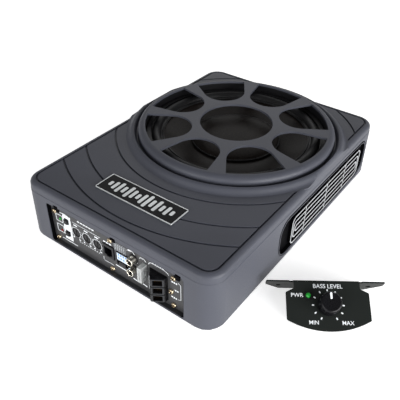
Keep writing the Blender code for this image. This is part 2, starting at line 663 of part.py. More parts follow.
def make_connectors():
    for name, left, right, low, high in SOCKETS:
        size = (right - left, high - low, BACK_DEPTH + SOCKET_REACH)
        at = on_panel((left + right) / 2, (low + high) / 2)
        shape = block(size, (0, 0, SOCKET_REACH - size[2] / 2))
        body = place(name, shape, black_plastic(), at, FACING_FRONT)
        pocket = block((size[0] - 4.4 * MM, size[1] - 6.4 * MM, 16 * MM))
        cut(body, f"{name}_pocket", pocket, at, FACING_FRONT)
    shell = block((10.4 * MM, 30 * MM, 11 * MM), (0, 0, -5.5 * MM - PANEL_THICKNESS - GAP))
    middle = sum(RCA_Z) / 2
    block_body = place("rca_block", shell, black_plastic(), on_panel(RCA_X, middle), FACING_FRONT)
    for index, z in enumerate(RCA_Z):
        sleeve = [(1.7 * MM, -8 * MM), (3 * MM, -8 * MM), (3 * MM, 5.5 * MM), (1.7 * MM, 5.5 * MM)]
        join(block_body, f"rca_insulator_{index}", turned(sleeve, 24), on_panel(RCA_X, z), FACING_FRONT)
    for name, z in zip(("rca_ring_right", "rca_ring_left"), RCA_Z):
        ring = [(3.3 * MM, -PANEL_THICKNESS), (4.2 * MM, -PANEL_THICKNESS)]
        ring += [(4.2 * MM, RCA_REACH), (3.3 * MM, RCA_REACH)]
        place(name, turned(ring, 24), bright_nickel(), on_panel(RCA_X, z), FACING_FRONT)
    at = on_panel(FUSE_X, FUSE_Z)
    shape = block((7.6 * MM, 22 * MM, 14 * MM), (0, 0, -7 * MM - PANEL_THICKNESS - GAP))
    holder = place("fuse_holder", shape, black_plastic(), at, FACING_FRONT)
    pocket = block((FUSE_SIZE[0] + 2 * GAP, FUSE_SIZE[1] + 2 * GAP, 24 * MM))
    cut(holder, "fuse_pocket", pocket, at, FACING_FRONT)
    body = block((*FUSE_SIZE, FUSE_REACH + FUSE_BLADES), (0, 0, (FUSE_REACH - FUSE_BLADES) / 2))
    place("fuse", body, material("fuse_plastic", (0.75, 0.76, 0.74), 0.2), at, FACING_FRONT)


def make_power_terminal():
    left, right, low, high = TERMINAL_BOX
    shoulder = (right, TERMINAL_SHOULDER)
    back = PANEL_BACK + BACK_DEPTH
    outline = [(left, back), (left, PANEL_Y), TERMINAL_CORNER, shoulder, (right, back)]
    body = place("power_terminal", prism(outline, low, high), black_plastic())
    along, out = (shoulder[i] - TERMINAL_CORNER[i] for i in (0, 1))
    turn = (0, 0, math.atan2(out, along))
    middle = [(TERMINAL_CORNER[i] + shoulder[i]) / 2 for i in (0, 1)]
    for index in range(3):
        z = low + (high - low) * (index + 0.5) / 3
        cut(body, f"terminal_entry_{index}", block(TERMINAL_ENTRY), (*middle, z), turn)


def make_amplifier():
    board = block((*BOARD_SIZE, BOARD_THICKNESS), (0, BOARD_CENTRE_Y, BOARD_Z + BOARD_THICKNESS / 2))
    place("amplifier_board", board, board_green())
    seat = BOARD_TOP + GAP
    at = (-78 * MM, -108 * MM, seat)
    fins = place("heat_sink", block((26 * MM, 60 * MM, 28 * MM), (0, 0, 14 * MM)), aluminium(), at)
    for index in range(4):
        slot = block((3.4 * MM, 70 * MM, 24 * MM), ((index - 1.5) * 5.6 * MM, 0, 18 * MM))
        cut(fins, f"fin_gap_{index}", slot, at)
    core = arc((15 * MM, 8 * MM), 8 * MM, 0, 315, 7)
    place("toroid_choke", turned(core, 24), copper(), (58 * MM, -104 * MM, seat))
    can = [(0, 0), (10 * MM, 0), (11 * MM, 1 * MM), (11 * MM, 34 * MM), (10 * MM, 35 * MM), (0, 35 * MM)]
    sleeve = material("capacitor_sleeve", (0.02, 0.03, 0.09), 0.3)
    place("smoothing_capacitor", turned(can, 24), sleeve, (-30 * MM, -110 * MM, seat))


def make_vents():
    lap = VENT_LAP
    outline = rounded(VENT_FRONT - lap, VENT_REAR + lap, VENT_LOW - lap, VENT_HIGH + lap, VENT_RADIUS + lap)
    inner_face = SIDE_X - WALL - TOP_TAPER - 2 * GAP
    for side, name in ((1, "right_vent"), (-1, "left_vent")):
        sections = [[(side * x, y, z) for y, z in outline] for x in (inner_face - VENT_DEPTH, inner_face)]
        vent = place(name, loft(sections), black_plastic())
        edges = [SLATS_FRONT, *VENT_DIVIDERS, SLATS_REAR]
        for row in range(SLAT_COUNT - 1):
            z = SLAT_TOP - (row + 0.5) * SLAT_PITCH
            for start, end in zip(edges, edges[1:]):
                length = end - start - DIVIDER_WIDTH
                slot = block((20 * MM, length, SLOT_HEIGHT))
                cut(vent, f"{name}_slot_{row}_{start:.3f}", slot, (side * inner_face, (start + end) / 2, z))


def make_badge():
    x, y = BADGE_CENTRE
    half_x, half_y = (side / 2 for side in BADGE_SIZE)
    plate = prism(rounded(-half_x, half_x, -half_y, half_y, 1.5 * MM, 2), 0, BADGE_THICKNESS)
    place("badge_plate", plate, aluminium(), (x, y, TOP_Z + GAP))


def remote_frame():
    """An empty at the control's lower edge: X along its plate, Y up the plate and Z out of its face."""
    along = Vector((math.cos(REMOTE_TURN), math.sin(REMOTE_TURN), 0))
    level_back = UP.cross(along)
    up_plate = level_back * math.cos(REMOTE_LEAN) + UP * math.sin(REMOTE_LEAN)
    empty = bpy.data.objects.new("remote_frame", None)
    bpy.context.scene.collection.objects.link(empty)
    turn = Matrix((along, up_plate, along.cross(up_plate))).transposed()
    empty.matrix_world = Matrix.Translation((*REMOTE_FOOT, REMOTE_LIFT)) @ turn.to_4x4()
    return empty


def make_remote():
    frame = remote_frame()
    half = REMOTE_WIDTH / 2
    low_corner = (half, REMOTE_CORNER)
    sagitta = REMOTE_CORNER
    radius = (half**2 + sagitta**2) / (2 * sagitta)
    spread = math.degrees(math.asin(half / radius))
    lower_arc = arc((0, radius), radius, 270 - spread, 270 + spread, 10)
    shoulder_x = half - 8 * MM
    top = REMOTE_HEIGHT
    shoulder_y = REMOTE_SHOULDER + 4 * MM
    outline = lower_arc + [(half, REMOTE_SHOULDER), (shoulder_x, shoulder_y), (shoulder_x, top)]
    outline += [(-shoulder_x, top), (-shoulder_x, shoulder_y), (-half, REMOTE_SHOULDER)]
    bracket = place("remote_bracket", prism(outline, -REMOTE_SHEET, 0), coated_metal(), parent=frame)
    ear = REMOTE_EARS / 2
    relief = shoulder_x + 3 * MM
    flange = [(-shoulder_x, 0.2 * MM - REMOTE_SHEET), (-shoulder_x, -5.4 * MM), (-relief, -5.4 * MM)]
    flange += [(-relief, EAR_TOP), (-ear, EAR_TOP), (-ear, -12 * MM)]
    flange += [(-ear + 14.2 * MM, -REMOTE_FLANGE)]
    flange += [(-x, z) for x, z in reversed(flange)]
    sections = [[(x, y, z) for x, z in flange] for y in (top - REMOTE_SHEET, top)]
    join(bracket, "remote_flange", loft(sections), parent=frame)
    for side in (-1, 1):
        hole = disc(2.4 * MM, -3 * MM, 3 * MM, 16)
        at = (side * EAR_HOLE[0], top, EAR_HOLE[1])
        cut(bracket, f"remote_ear_hole_{side + 1}", hole, at, FACING_FRONT, frame)
    centre = (0, REMOTE_KNOB_Y, 0)
    shaft = disc(3.6 * MM, -4 * MM, 4 * MM, 24)
    cut(bracket, "remote_shaft_hole", shaft, centre, parent=frame)
    lamp = disc(2.5 * MM + GAP, -4 * MM, 4 * MM, 16)
    cut(bracket, "remote_led_hole", lamp, (*REMOTE_LED, 0), parent=frame)
    back = -REMOTE_SHEET - GAP
    floor = back - 5 * MM
    low = back - 6 * MM
    neck = 2 * MM - REMOTE_SHEET
    pot = [(3.3 * MM, neck), (3.3 * MM, back), (8 * MM, back), (8 * MM, low)]
    pot += [(0, low), (0, floor), (1.9 * MM, floor), (1.9 * MM, neck)]
    place("remote_pot", turned(pot, 24), black_plastic(), centre, parent=frame)
    board = block((56 * MM, 22 * MM, 1.6 * MM), (0, 32 * MM, low - GAP - 0.8 * MM))
    place("remote_board", board, board_green(), parent=frame)
    radius = REMOTE_KNOB_RADIUS
    knob = [(0, -6 * MM), (1.6 * MM, -6 * MM), (1.6 * MM, 1.5 * MM), (radius, 1.5 * MM)]
    knob += [(radius - 0.6 * MM, 13 * MM), (radius - 1.8 * MM, 14.2 * MM), (0, 14.2 * MM)]
    place("remote_knob", turned(knob, 32), black_plastic(), centre, parent=frame)
    led = [(0, -4.5 * MM), (2.5 * MM, -4.5 * MM), (2.5 * MM, 1 * MM)]
    led += [(1.8 * MM, 2.2 * MM), (0, 2.8 * MM)]
    green = material("remote_led", (0.02, 0.35, 0.08), 0.15)
    place("remote_led", turned(led, 16), green, (*REMOTE_LED, 0), parent=frame)


clear_scene()
make_housing()
make_base_plate()
make_grille()
make_motor()
make_basket()
make_moving_parts()
make_suspension()
make_woofer_wiring()
make_panel()
make_controls()
make_connectors()
make_power_terminal()
make_amplifier()
make_vents()
make_badge()
make_remote()
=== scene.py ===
"""The looks of a powered under-seat car subwoofer and its wired level control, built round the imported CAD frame.

Everything is in metres in the frame's own axes: +Z up, the connector panel facing -Y.
"""

import math

import bmesh
import bpy
from mathutils import Matrix, Vector


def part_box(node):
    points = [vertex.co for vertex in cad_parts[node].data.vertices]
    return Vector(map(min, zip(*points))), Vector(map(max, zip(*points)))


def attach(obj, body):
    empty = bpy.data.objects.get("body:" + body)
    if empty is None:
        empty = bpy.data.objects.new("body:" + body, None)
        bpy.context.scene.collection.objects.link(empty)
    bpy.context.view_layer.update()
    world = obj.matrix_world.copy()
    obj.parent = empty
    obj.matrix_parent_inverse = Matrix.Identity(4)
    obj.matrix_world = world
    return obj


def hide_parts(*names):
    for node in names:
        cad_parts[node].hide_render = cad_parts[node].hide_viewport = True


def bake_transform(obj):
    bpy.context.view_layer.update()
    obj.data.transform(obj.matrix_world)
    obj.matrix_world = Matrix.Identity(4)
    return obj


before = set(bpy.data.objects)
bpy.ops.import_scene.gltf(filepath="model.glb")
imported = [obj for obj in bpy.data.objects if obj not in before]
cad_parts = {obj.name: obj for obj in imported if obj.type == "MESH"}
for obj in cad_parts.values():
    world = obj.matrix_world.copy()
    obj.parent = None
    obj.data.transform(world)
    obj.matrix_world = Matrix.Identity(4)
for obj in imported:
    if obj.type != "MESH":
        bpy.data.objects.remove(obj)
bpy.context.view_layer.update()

MM = 0.001
GAP = 0.3 * MM
housing_low, housing_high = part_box("housing")
grille_low, grille_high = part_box("grille")
panel_low, panel_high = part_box("control_panel")

# Housing
SIDE_X = housing_high.x
END_Y = housing_high.y
FRONT_Y = housing_low.y
RIM_Z = housing_low.z
TOP_Z = 70.5 * MM
CORNER_RADIUS = 20.7 * MM
WALL = 3 * MM
FOOT_FILLET = 2.8 * MM
CEILING_Z = TOP_Z - WALL
GROOVE_INSET = 8.5 * MM
GROOVE_HALF = 1.15 * MM
GROOVE_DEPTH = 2 * MM
ARC_GROOVES = (140 * MM, 173.5 * MM, 200 * MM)

# Grille and collar
RING = Vector(((grille_low.x + grille_high.x) / 2, (grille_low.y + grille_high.y) / 2, 0))
RING_Z = grille_high.z
GRILLE_RADIUS = (grille_high.x - grille_low.x) / 2
GRILLE_HOLE = 42.3 * MM
GRILLE_PLATE = 2.5 * MM
SKIRT_INNER = 106.2 * MM
LEDGE_Z = 67 * MM
LEDGE_INNER = 97 * MM

# Front panel
PANEL_Y = panel_low.y
OPENING = (-87 * MM, 89.7 * MM, 4.5 * MM, 55 * MM)
POT_X = (-52.1 * MM, -37.1 * MM, -22.2 * MM)
POT_Z = 29.9 * MM
LED_X = -74 * MM
UPPER_SCREWS = (-81.6 * MM, -2.9 * MM, 75 * MM)
FACING_FRONT = Matrix.Rotation(math.pi / 2, 4, "X")

# Vents
VENT = (-59 * MM, 152 * MM, 7.8 * MM, 56.6 * MM)
VENT_RADIUS = 18 * MM
VENT_DIVIDERS = (-1 * MM, 49 * MM, 97 * MM)
SLAT_TOP = 45.5 * MM
SLAT_PITCH = 7 * MM
SLATS_FRONT = -30.5 * MM
SLATS_REAR = 137 * MM
SLAT_HALF = 0.7 * MM
FACING = 0.45 * MM

# Level control: its lower edge's middle, and the directions along, up and out of its plate
REMOTE_TURN = math.radians(35.9)
REMOTE_LEAN = math.atan2(24.7, 46.5)
REMOTE_FOOT = Vector((203.5 * MM, -100.5 * MM, 1.5 * MM * math.cos(REMOTE_LEAN) + 0.05 * MM))
REMOTE_SHEET = 1.5 * MM
REMOTE_KNOB_Y = 24 * MM
REMOTE_HEIGHT = 48 * MM


# ---------------------------------------------------------------- materials


def new_material(name, colour, roughness, metallic=0.0):
    made = bpy.data.materials.new(name)
    made.use_nodes = True
    shader = made.node_tree.nodes["Principled BSDF"]
    shader.inputs["Base Color"].default_value = (*colour, 1)
    shader.inputs["Roughness"].default_value = roughness
    shader.inputs["Metallic"].default_value = metallic
    return made, made.node_tree.nodes, made.node_tree.links, shader


def noise(nodes, links, scale, detail=3.0, stretch=None):
    """A noise texture in object coordinates. The scale is in features per metre."""
    place_node = nodes.new("ShaderNodeTexCoord")
    texture = nodes.new("ShaderNodeTexNoise")
    texture.inputs["Scale"].default_value = scale
    texture.inputs["Detail"].default_value = detail
    source = place_node.outputs["Object"]
    if stretch:
        mapping = nodes.new("ShaderNodeMapping")
        mapping.inputs["Scale"].default_value = stretch
        links.new(source, mapping.inputs["Vector"])
        source = mapping.outputs["Vector"]
    links.new(source, texture.inputs["Vector"])
    return texture


def ramp(nodes, links, source, low, high, start=0.3, end=0.7):
    """A colour ramp from low to high, each a colour or a grey level."""
    made = nodes.new("ShaderNodeValToRGB")
    for element, position, value in zip(made.color_ramp.elements, (start, end), (low, high)):
        element.position = position
        element.color = (*value, 1) if isinstance(value, tuple) else (value, value, value, 1)
    links.new(source, made.inputs["Fac"])
    return made.outputs["Color"]


def bump(nodes, links, shader, source, strength, distance):
    made = nodes.new("ShaderNodeBump")
    made.inputs["Strength"].default_value = strength
    made.inputs["Distance"].default_value = distance
    links.new(source, made.inputs["Height"])
    links.new(made.outputs["Normal"], shader.inputs["Normal"])


def shade(colour, factor):
    return tuple(min(1.0, c * factor) for c in colour)


def finish(name, colour, roughness, metallic=0.0, grain=900, depth=0.03, mottle=0.12, stretch=None, detail=3.0,
           specular=0.5):
    """A material with fine grain in its bump, and colour and gloss that drift slowly over the surface."""
    made, nodes, links, shader = new_material(name, colour, roughness, metallic)
    shader.inputs["Specular IOR Level"].default_value = specular
    broad = noise(nodes, links, 22, 2.0)
    tint = ramp(nodes, links, broad.outputs["Fac"], shade(colour, 1 - mottle), shade(colour, 1 + mottle))
    links.new(tint, shader.inputs["Base Color"])
    fine = noise(nodes, links, grain, detail, stretch)
    gloss = ramp(nodes, links, fine.outputs["Fac"], max(0.03, roughness - 0.08), min(1.0, roughness + 0.08))
    links.new(gloss, shader.inputs["Roughness"])
    bump(nodes, links, shader, fine.outputs["Fac"], 0.6, depth * MM)
    return made


def casting_finish(name, colour, roughness=0.5, specular=0.35):
    """Satin powder coat on a casting: a close pebble grain over a faint drift in tone."""
    made, nodes, links, shader = new_material(name, colour, roughness)
    shader.inputs["Specular IOR Level"].default_value = specular
    broad = noise(nodes, links, 14, 2.0)
    tint = ramp(nodes, links, broad.outputs["Fac"], shade(colour, 0.93), shade(colour, 1.07))
    links.new(tint, shader.inputs["Base Color"])
    pebble = noise(nodes, links, 1500, 4.0)
    gloss = ramp(nodes, links, pebble.outputs["Fac"], roughness - 0.07, roughness + 0.07)
    links.new(gloss, shader.inputs["Roughness"])
    bump(nodes, links, shader, pebble.outputs["Fac"], 0.5, 0.05 * MM)
    return made


def paper_finish():
    """Pressed pulp: short fibres in the bump, brown-black, with a thin coating's sheen."""
    colour = (0.010, 0.0078, 0.0068)
    made, nodes, links, shader = new_material("cone_paper", colour, 0.5)
    shader.inputs["Specular IOR Level"].default_value = 0.1
    fibres = noise(nodes, links, 420, 6.0, (1, 1, 4))
    tint = ramp(nodes, links, fibres.outputs["Fac"], shade(colour, 0.6), shade(colour, 1.5))
    links.new(tint, shader.inputs["Base Color"])
    bump(nodes, links, shader, fibres.outputs["Fac"], 0.5, 0.12 * MM)
    return made


def woven_finish(name, colour, pitch):
    """A square weave made of two crossed wave patterns."""
    made, nodes, links, shader = new_material(name, colour, 0.85)
    shader.inputs["Sheen Weight"].default_value = 0.3
    place_node = nodes.new("ShaderNodeTexCoord")
    threads = []
    for direction in ("X", "Y"):
        wave = nodes.new("ShaderNodeTexWave")
        wave.bands_direction = direction
        wave.inputs["Scale"].default_value = 0.31 / pitch
        wave.inputs["Distortion"].default_value = 0.6
        links.new(place_node.outputs["Object"], wave.inputs["Vector"])
        threads.append(wave.outputs["Fac"])
    crossed = nodes.new("ShaderNodeMath")
    crossed.operation = "MULTIPLY"
    links.new(threads[0], crossed.inputs[0])
    links.new(threads[1], crossed.inputs[1])
    tint = ramp(nodes, links, crossed.outputs["Value"], shade(colour, 0.55), shade(colour, 1.15), 0.1, 0.6)
    links.new(tint, shader.inputs["Base Color"])
    bump(nodes, links, shader, crossed.outputs["Value"], 0.8, 0.25 * MM)
    return made


def winding_finish():
    """Enamelled wire laid in close turns."""
    colour = (0.62, 0.26, 0.1)
    made, nodes, links, shader = new_material("copper_winding", colour, 0.3, 1)
    place_node = nodes.new("ShaderNodeTexCoord")
    wave = nodes.new("ShaderNodeTexWave")
    wave.bands_direction = "Z"
    wave.inputs["Scale"].default_value = 600
    links.new(place_node.outputs["Object"], wave.inputs["Vector"])
    tint = ramp(nodes, links, wave.outputs["Fac"], shade(colour, 0.35), colour, 0.05, 0.6)
    links.new(tint, shader.inputs["Base Color"])
    bump(nodes, links, shader, wave.outputs["Fac"], 0.9, 0.15 * MM)
    return made


def board_finish():
    """Green solder mask over faint copper runs."""
    colour = (0.012, 0.085, 0.035)
    made, nodes, links, shader = new_material("circuit_board", colour, 0.3)
    shader.inputs["Coat Weight"].default_value = 0.4
    place_node = nodes.new("ShaderNodeTexCoord")
    cells = nodes.new("ShaderNodeTexVoronoi")
    cells.distance = "MANHATTAN"
    cells.inputs["Scale"].default_value = 160
    links.new(place_node.outputs["Object"], cells.inputs["Vector"])
    tint = ramp(nodes, links, cells.outputs["Distance"], (0.05, 0.22, 0.07), colour, 0.12, 0.2)
    links.new(tint, shader.inputs["Base Color"])
    bump(nodes, links, shader, cells.outputs["Distance"], 0.3, 0.03 * MM)
    return made


def lens_finish(name, colour, glow):
    made, nodes, links, shader = new_material(name, colour, 0.12)
    shader.inputs["Transmission Weight"].default_value = 0.35
    shader.inputs["IOR"].default_value = 1.5
    shader.inputs["Emission Color"].default_value = (*colour, 1)
    shader.inputs["Emission Strength"].default_value = glow
    cloudy = noise(nodes, links, 500, 2.0)
    tint = ramp(nodes, links, cloudy.outputs["Fac"], shade(colour, 0.75), shade(colour, 1.3))
    links.new(tint, shader.inputs["Base Color"])
    return made


def clear_plastic_finish():
    made, nodes, links, shader = new_material("fuse_plastic", (0.8, 0.82, 0.82), 0.2)
    shader.inputs["Transmission Weight"].default_value = 0.55
    shader.inputs["IOR"].default_value = 1.49
    cloudy = noise(nodes, links, 300, 3.0)
    tint = ramp(nodes, links, cloudy.outputs["Fac"], (0.7, 0.72, 0.72), (0.86, 0.88, 0.88))
    links.new(tint, shader.inputs["Base Color"])
    bump(nodes, links, shader, cloudy.outputs["Fac"], 0.3, 0.05 * MM)
    return made


CASTING = casting_finish("coated_casting", (0.05, 0.053, 0.068))
BRACKET = casting_finish("bracket_coating", (0.010, 0.012, 0.011), 0.45, 0.12)
BLACK = finish("black_plastic", (0.006, 0.006, 0.007), 0.45, grain=1800, depth=0.02, specular=0.2)
# Matt black for the vent inserts, also used for painted shade in the panel opening and painted shadow beside the upper
# screws.
DEEP_BLACK_AND_SHADE = finish("matt_black_paint_and_shade", (0.0022, 0.0022, 0.0028), 0.6, grain=1500, depth=0.02, specular=0.02)
GLOSS_BLACK = finish("gloss_black_plastic", (0.003, 0.003, 0.004), 0.3, grain=2500, depth=0.01, specular=0.22)
TERMINAL_GREY = finish("terminal_plastic", (0.022, 0.023, 0.026), 0.45, grain=1800, depth=0.02, specular=0.3)
PAPER = paper_finish()
RUBBER = finish("rubber", (0.007, 0.007, 0.008), 0.5, grain=1200, depth=0.04, specular=0.25)
ZINC = finish("plated_steel", (0.55, 0.45, 0.31), 0.3, 1, grain=700, depth=0.015)
NICKEL = finish("nickel", (0.86, 0.82, 0.72), 0.2, 1, grain=900, depth=0.008)
BRASS = finish("brass_contact", (0.32, 0.18, 0.06), 0.35, 1, grain=700, depth=0.02)
WINDING = winding_finish()
ALUMINIUM = finish("aluminium", (0.68, 0.69, 0.7), 0.34, 1, grain=400, depth=0.02, stretch=(1, 12, 1))
FERRITE = finish("ferrite", (0.035, 0.035, 0.038), 0.75, grain=500, depth=0.15, detail=6.0)
BOARD = board_finish()
SPIDER_CLOTH = woven_finish("spider_cloth", (0.46, 0.32, 0.15), 0.9 * MM)
PANEL_PAINT = finish("panel_paint", (0.042, 0.042, 0.044), 0.45, grain=2200, depth=0.02, specular=0.3)
BADGE_BLACK = finish("badge_black", (0.004, 0.004, 0.005), 0.45, grain=2500, depth=0.005, specular=0.12)
SILVER = finish("badge_silver", (0.62, 0.64, 0.65), 0.35, 0.6, grain=500, depth=0.01, stretch=(1, 10, 1))
# Satin silver on the vent slats' front faces and dividers: machined bright edges, and painted highlight along them.
SLAT_SILVER_AND_HIGHLIGHT = finish("slat_silver_and_highlight", (0.50, 0.51, 0.53), 0.4, 0.5, grain=700, depth=0.02, stretch=(1, 0.1, 1))
FUSE_PLASTIC = clear_plastic_finish()
GREEN_LENS = lens_finish("green_lens", (0.01, 0.32, 0.03), 0.15)
RED_LENS = lens_finish("red_lens", (0.28, 0.004, 0.004), 0.05)
RED_LEAD = finish("red_lead", (0.42, 0.012, 0.01), 0.4, grain=900)
BLACK_LEAD = finish("black_lead", (0.012, 0.012, 0.012), 0.4, grain=900)
SLEEVE = finish("capacitor_sleeve", (0.012, 0.018, 0.07), 0.28, grain=600)
PRINT = finish("white_print", (0.78, 0.81, 0.84), 0.5, grain=1500, depth=0.005, mottle=0.08)
GREY_PRINT = finish("grey_print", (0.34, 0.36, 0.38), 0.5, grain=1500, depth=0.005, mottle=0.08)
WHITE_PLASTIC = finish("white_plastic", (0.62, 0.7, 0.8), 0.35, grain=1500, depth=0.01)
BLUE_PLASTIC = finish("blue_plastic", (0.10, 0.26, 0.52), 0.35, grain=1500, depth=0.01)


# ---------------------------------------------------------------- shapes


def arc(centre, radius, start, end, steps):
    """Points of a circular arc, the angles in degrees."""
    angles = [math.radians(start + (end - start) * i / steps) for i in range(steps + 1)]
    return [(centre[0] + radius * math.cos(a), centre[1] + radius * math.sin(a)) for a in angles]


def rounded(left, right, low, high, radius, steps=6):
    """A rectangle with round corners, counterclockwise."""
    points = []
    for x, y, start in ((right, high, 0), (left, high, 90), (left, low, 180), (right, low, 270)):
        inward = (radius if x == left else -radius, radius if y == low else -radius)
        points += arc((x + inward[0], y + inward[1]), radius, start, start + 90, steps)
    return points


def softened(points, radius, steps=3):
    """A closed polygon with each corner eased by a short curve."""
    eased = []
    for before, corner, after in zip(points[-1:] + points[:-1], points, points[1:] + points[:1]):
        corner, before, after = Vector(corner), Vector(before), Vector(after)
        back, ahead = before - corner, after - corner
        if back.length < 1e-9 or ahead.length < 1e-9:
            continue
        start = corner + back.normalized() * min(radius, back.length * 0.45)
        end = corner + ahead.normalized() * min(radius, ahead.length * 0.45)
        for i in range(steps + 1):
            t = i / steps
            eased.append(tuple(start * (1 - t) ** 2 + corner * 2 * t * (1 - t) + end * t * t))
    return eased


def loft(sections):
    """A closed bmesh through rings of the same number of points, capped at both ends."""
    bm = bmesh.new()
    rings = [[bm.verts.new(point) for point in section] for section in sections]
    for low, high in zip(rings, rings[1:]):
        for i in range(len(low)):
            j = (i + 1) % len(low)
            bm.faces.new((low[i], low[j], high[j], high[i]))
    bm.faces.new(rings[0][::-1])
    bm.faces.new(rings[-1])
    return bm


def prism(outline, low, high):
    return loft([[(x, y, z) for x, y in outline] for z in (low, high)])


def block(size, centre=(0, 0, 0)):
    bm = bmesh.new()
    bmesh.ops.create_cube(bm, size=1)
    bmesh.ops.scale(bm, vec=size, verts=bm.verts)
    bmesh.ops.translate(bm, vec=centre, verts=bm.verts)
    return bm


def turned(profile, steps=48, sweep=None):
    """A closed profile of (radius, z) points swept round Z, or over a sweep of (start, end) degrees."""
    if sweep:
        return part_turned(profile, steps, *(math.radians(a) for a in sweep))
    bm = bmesh.new()
    rings = []
    for radius, z in profile:
        if radius <= 0:
            rings.append([bm.verts.new((0, 0, z))])
            continue
        angles = [2 * math.pi * i / steps for i in range(steps)]
        rings.append([bm.verts.new((radius * math.cos(a), radius * math.sin(a), z)) for a in angles])
    for ring, following in zip(rings, rings[1:] + rings[:1]):
        if len(ring) == 1 and len(following) == 1:
            continue
        for i in range(steps):
            j = (i + 1) % steps
            corners = [ring[i % len(ring)], ring[j % len(ring)], following[j % len(following)]]
            corners.append(following[i % len(following)])
            bm.faces.new(list(dict.fromkeys(corners)))
    return bm


def part_turned(profile, steps, start, end):
    angles = [start + (end - start) * i / steps for i in range(steps + 1)]
    return loft([[(r * math.cos(a), r * math.sin(a), z) for r, z in profile] for a in angles])


def tube(points, radius, sides=8, closed=False):
    """A round bar along a line of points that lie about in one plane."""
    line = [Vector(p) for p in points]
    count = len(line)
    sections = []
    normal = None
    for i in range(count):
        before = line[(i - 1) % count] if closed or i else line[i]
        after = line[(i + 1) % count] if closed or i < count - 1 else line[i]
        ahead = (after - before).normalized()
        if normal is None:
            normal = ahead.orthogonal().normalized()
        normal = (normal - ahead * normal.dot(ahead)).normalized()
        side = ahead.cross(normal)
        angles = [2 * math.pi * k / sides for k in range(sides)]
        sections.append([line[i] + (normal * math.cos(a) + side * math.sin(a)) * radius for a in angles])
    if not closed:
        return loft(sections)
    bm = bmesh.new()
    rings = [[bm.verts.new(point) for point in section] for section in sections]
    for ring, following in zip(rings, rings[1:] + rings[:1]):
        for k in range(sides):
            m = (k + 1) % sides
            bm.faces.new((ring[k], ring[m], following[m], following[k]))
    return bm


def moved(bm, at=(0, 0, 0), turn=None):
    bm.transform(Matrix.Translation(at) @ (turn or Matrix.Identity(4)))
    return bm


def merged(*shapes):
    """Several bmeshes in one."""
    whole = bmesh.new()
    for shape in shapes:
        mesh = bpy.data.meshes.new("shape")
        shape.to_mesh(mesh)
        shape.free()
        whole.from_mesh(mesh)
        bpy.data.meshes.remove(mesh)
    return whole


def temporary(bm):
    bmesh.ops.recalc_face_normals(bm, faces=bm.faces)
    mesh = bpy.data.meshes.new("temporary")
    bm.to_mesh(mesh)
    bm.free()
    obj = bpy.data.objects.new("temporary", mesh)
    bpy.context.scene.collection.objects.link(obj)
    return obj


def combined(base, *steps):
    """The base shape after Booleans with other shapes, each given as (operation, shape)."""
    target = temporary(base)
    helpers = []
    for operation, shape in steps:
        helper = temporary(shape)
        helpers.append(helper)
        modifier = target.modifiers.new(operation, "BOOLEAN")
        modifier.operation = operation
        modifier.object = helper
        modifier.solver = "EXACT"
    bpy.context.view_layer.update()
    result = bmesh.new()
    mesh = bpy.data.meshes.new_from_object(target.evaluated_get(bpy.context.evaluated_depsgraph_get()))
    result.from_mesh(mesh)
    bpy.data.meshes.remove(mesh)
    for obj in [target, *helpers]:
        shape = obj.data
        bpy.data.objects.remove(obj, do_unlink=True)
        bpy.data.meshes.remove(shape)
    return result


def piece(name, bm, finish_made, body="box", stands_for=(), bevel=0.0, angle=32, segments=2):
    """A finished piece: smooth round its curves, sharp at its edges, riding on a CAD body."""
    bmesh.ops.recalc_face_normals(bm, faces=bm.faces)
    mesh = bpy.data.meshes.new(name)
    bm.to_mesh(mesh)
    bm.free()
    mesh.shade_smooth()
    mesh.materials.append(finish_made)
    obj = bpy.data.objects.new(name, mesh)
    bpy.context.scene.collection.objects.link(obj)
    if bevel:
        eased = obj.modifiers.new("eased_edges", "BEVEL")
        eased.width = bevel
        eased.segments = segments
        eased.limit_method = "ANGLE"
        eased.angle_limit = math.radians(angle)
        eased.use_clamp_overlap = True
        eased.harden_normals = False
    else:
        mesh.set_sharp_from_angle(angle=math.radians(angle))
    weighted = obj.modifiers.new("even_shading", "WEIGHTED_NORMAL")
    weighted.keep_sharp = True
    weighted.weight = 100
    if body:
        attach(obj, body)
    if stands_for:
        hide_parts(*stands_for)
    return obj


def footprint(inset, z, steps=14):
    """The housing's plan outline at a height, drawn in by an inset."""
    outline = rounded(
        -SIDE_X + inset,
        SIDE_X - inset,
        FRONT_Y + inset,
        END_Y - inset,
        CORNER_RADIUS - min(inset, CORNER_RADIUS * 0.6),
        steps,
    )
    return [(x, y, z) for x, y in outline]


def front_prism(outline, near, far):
    """A prism standing on the front panel's plane. Near and far are distances out of it, towards -Y."""
    return moved(prism(outline, near, far), (0, PANEL_Y, 0), FACING_FRONT)


# ---------------------------------------------------------------- housing


def ring_groove(radius):
    half, floor = GROOVE_HALF, TOP_Z - GROOVE_DEPTH
    profile = [(radius - half, TOP_Z + 1 * MM), (radius - half, TOP_Z), (radius - half * 0.8, floor)]
    profile += [(radius + half * 0.8, floor), (radius + half, TOP_Z), (radius + half, TOP_Z + 1 * MM)]
    within = loft([footprint(GROOVE_INSET, z) for z in (TOP_Z - 5 * MM, TOP_Z + 5 * MM)])
    return combined(moved(turned(profile, 200), RING), ("INTERSECT", within))


def edge_groove():
    """The groove that frames the top, as a ring of a trapezoid section."""
    half, floor = GROOVE_HALF, TOP_Z - GROOVE_DEPTH
    rings = [
        footprint(GROOVE_INSET - half, TOP_Z + 1 * MM),
        footprint(GROOVE_INSET - half, TOP_Z - 0.05 * MM),
        footprint(GROOVE_INSET - half * 0.8, floor),
        footprint(GROOVE_INSET + half * 0.8, floor),
        footprint(GROOVE_INSET + half, TOP_Z - 0.05 * MM),
        footprint(GROOVE_INSET + half, TOP_Z + 1 * MM),
    ]
    bm = bmesh.new()
    made = [[bm.verts.new(point) for point in ring] for ring in rings]
    for ring, following in zip(made, made[1:] + made[:1]):
        for i in range(len(ring)):
            j = (i + 1) % len(ring)
            bm.faces.new((ring[i], ring[j], following[j], following[i]))
    return bm


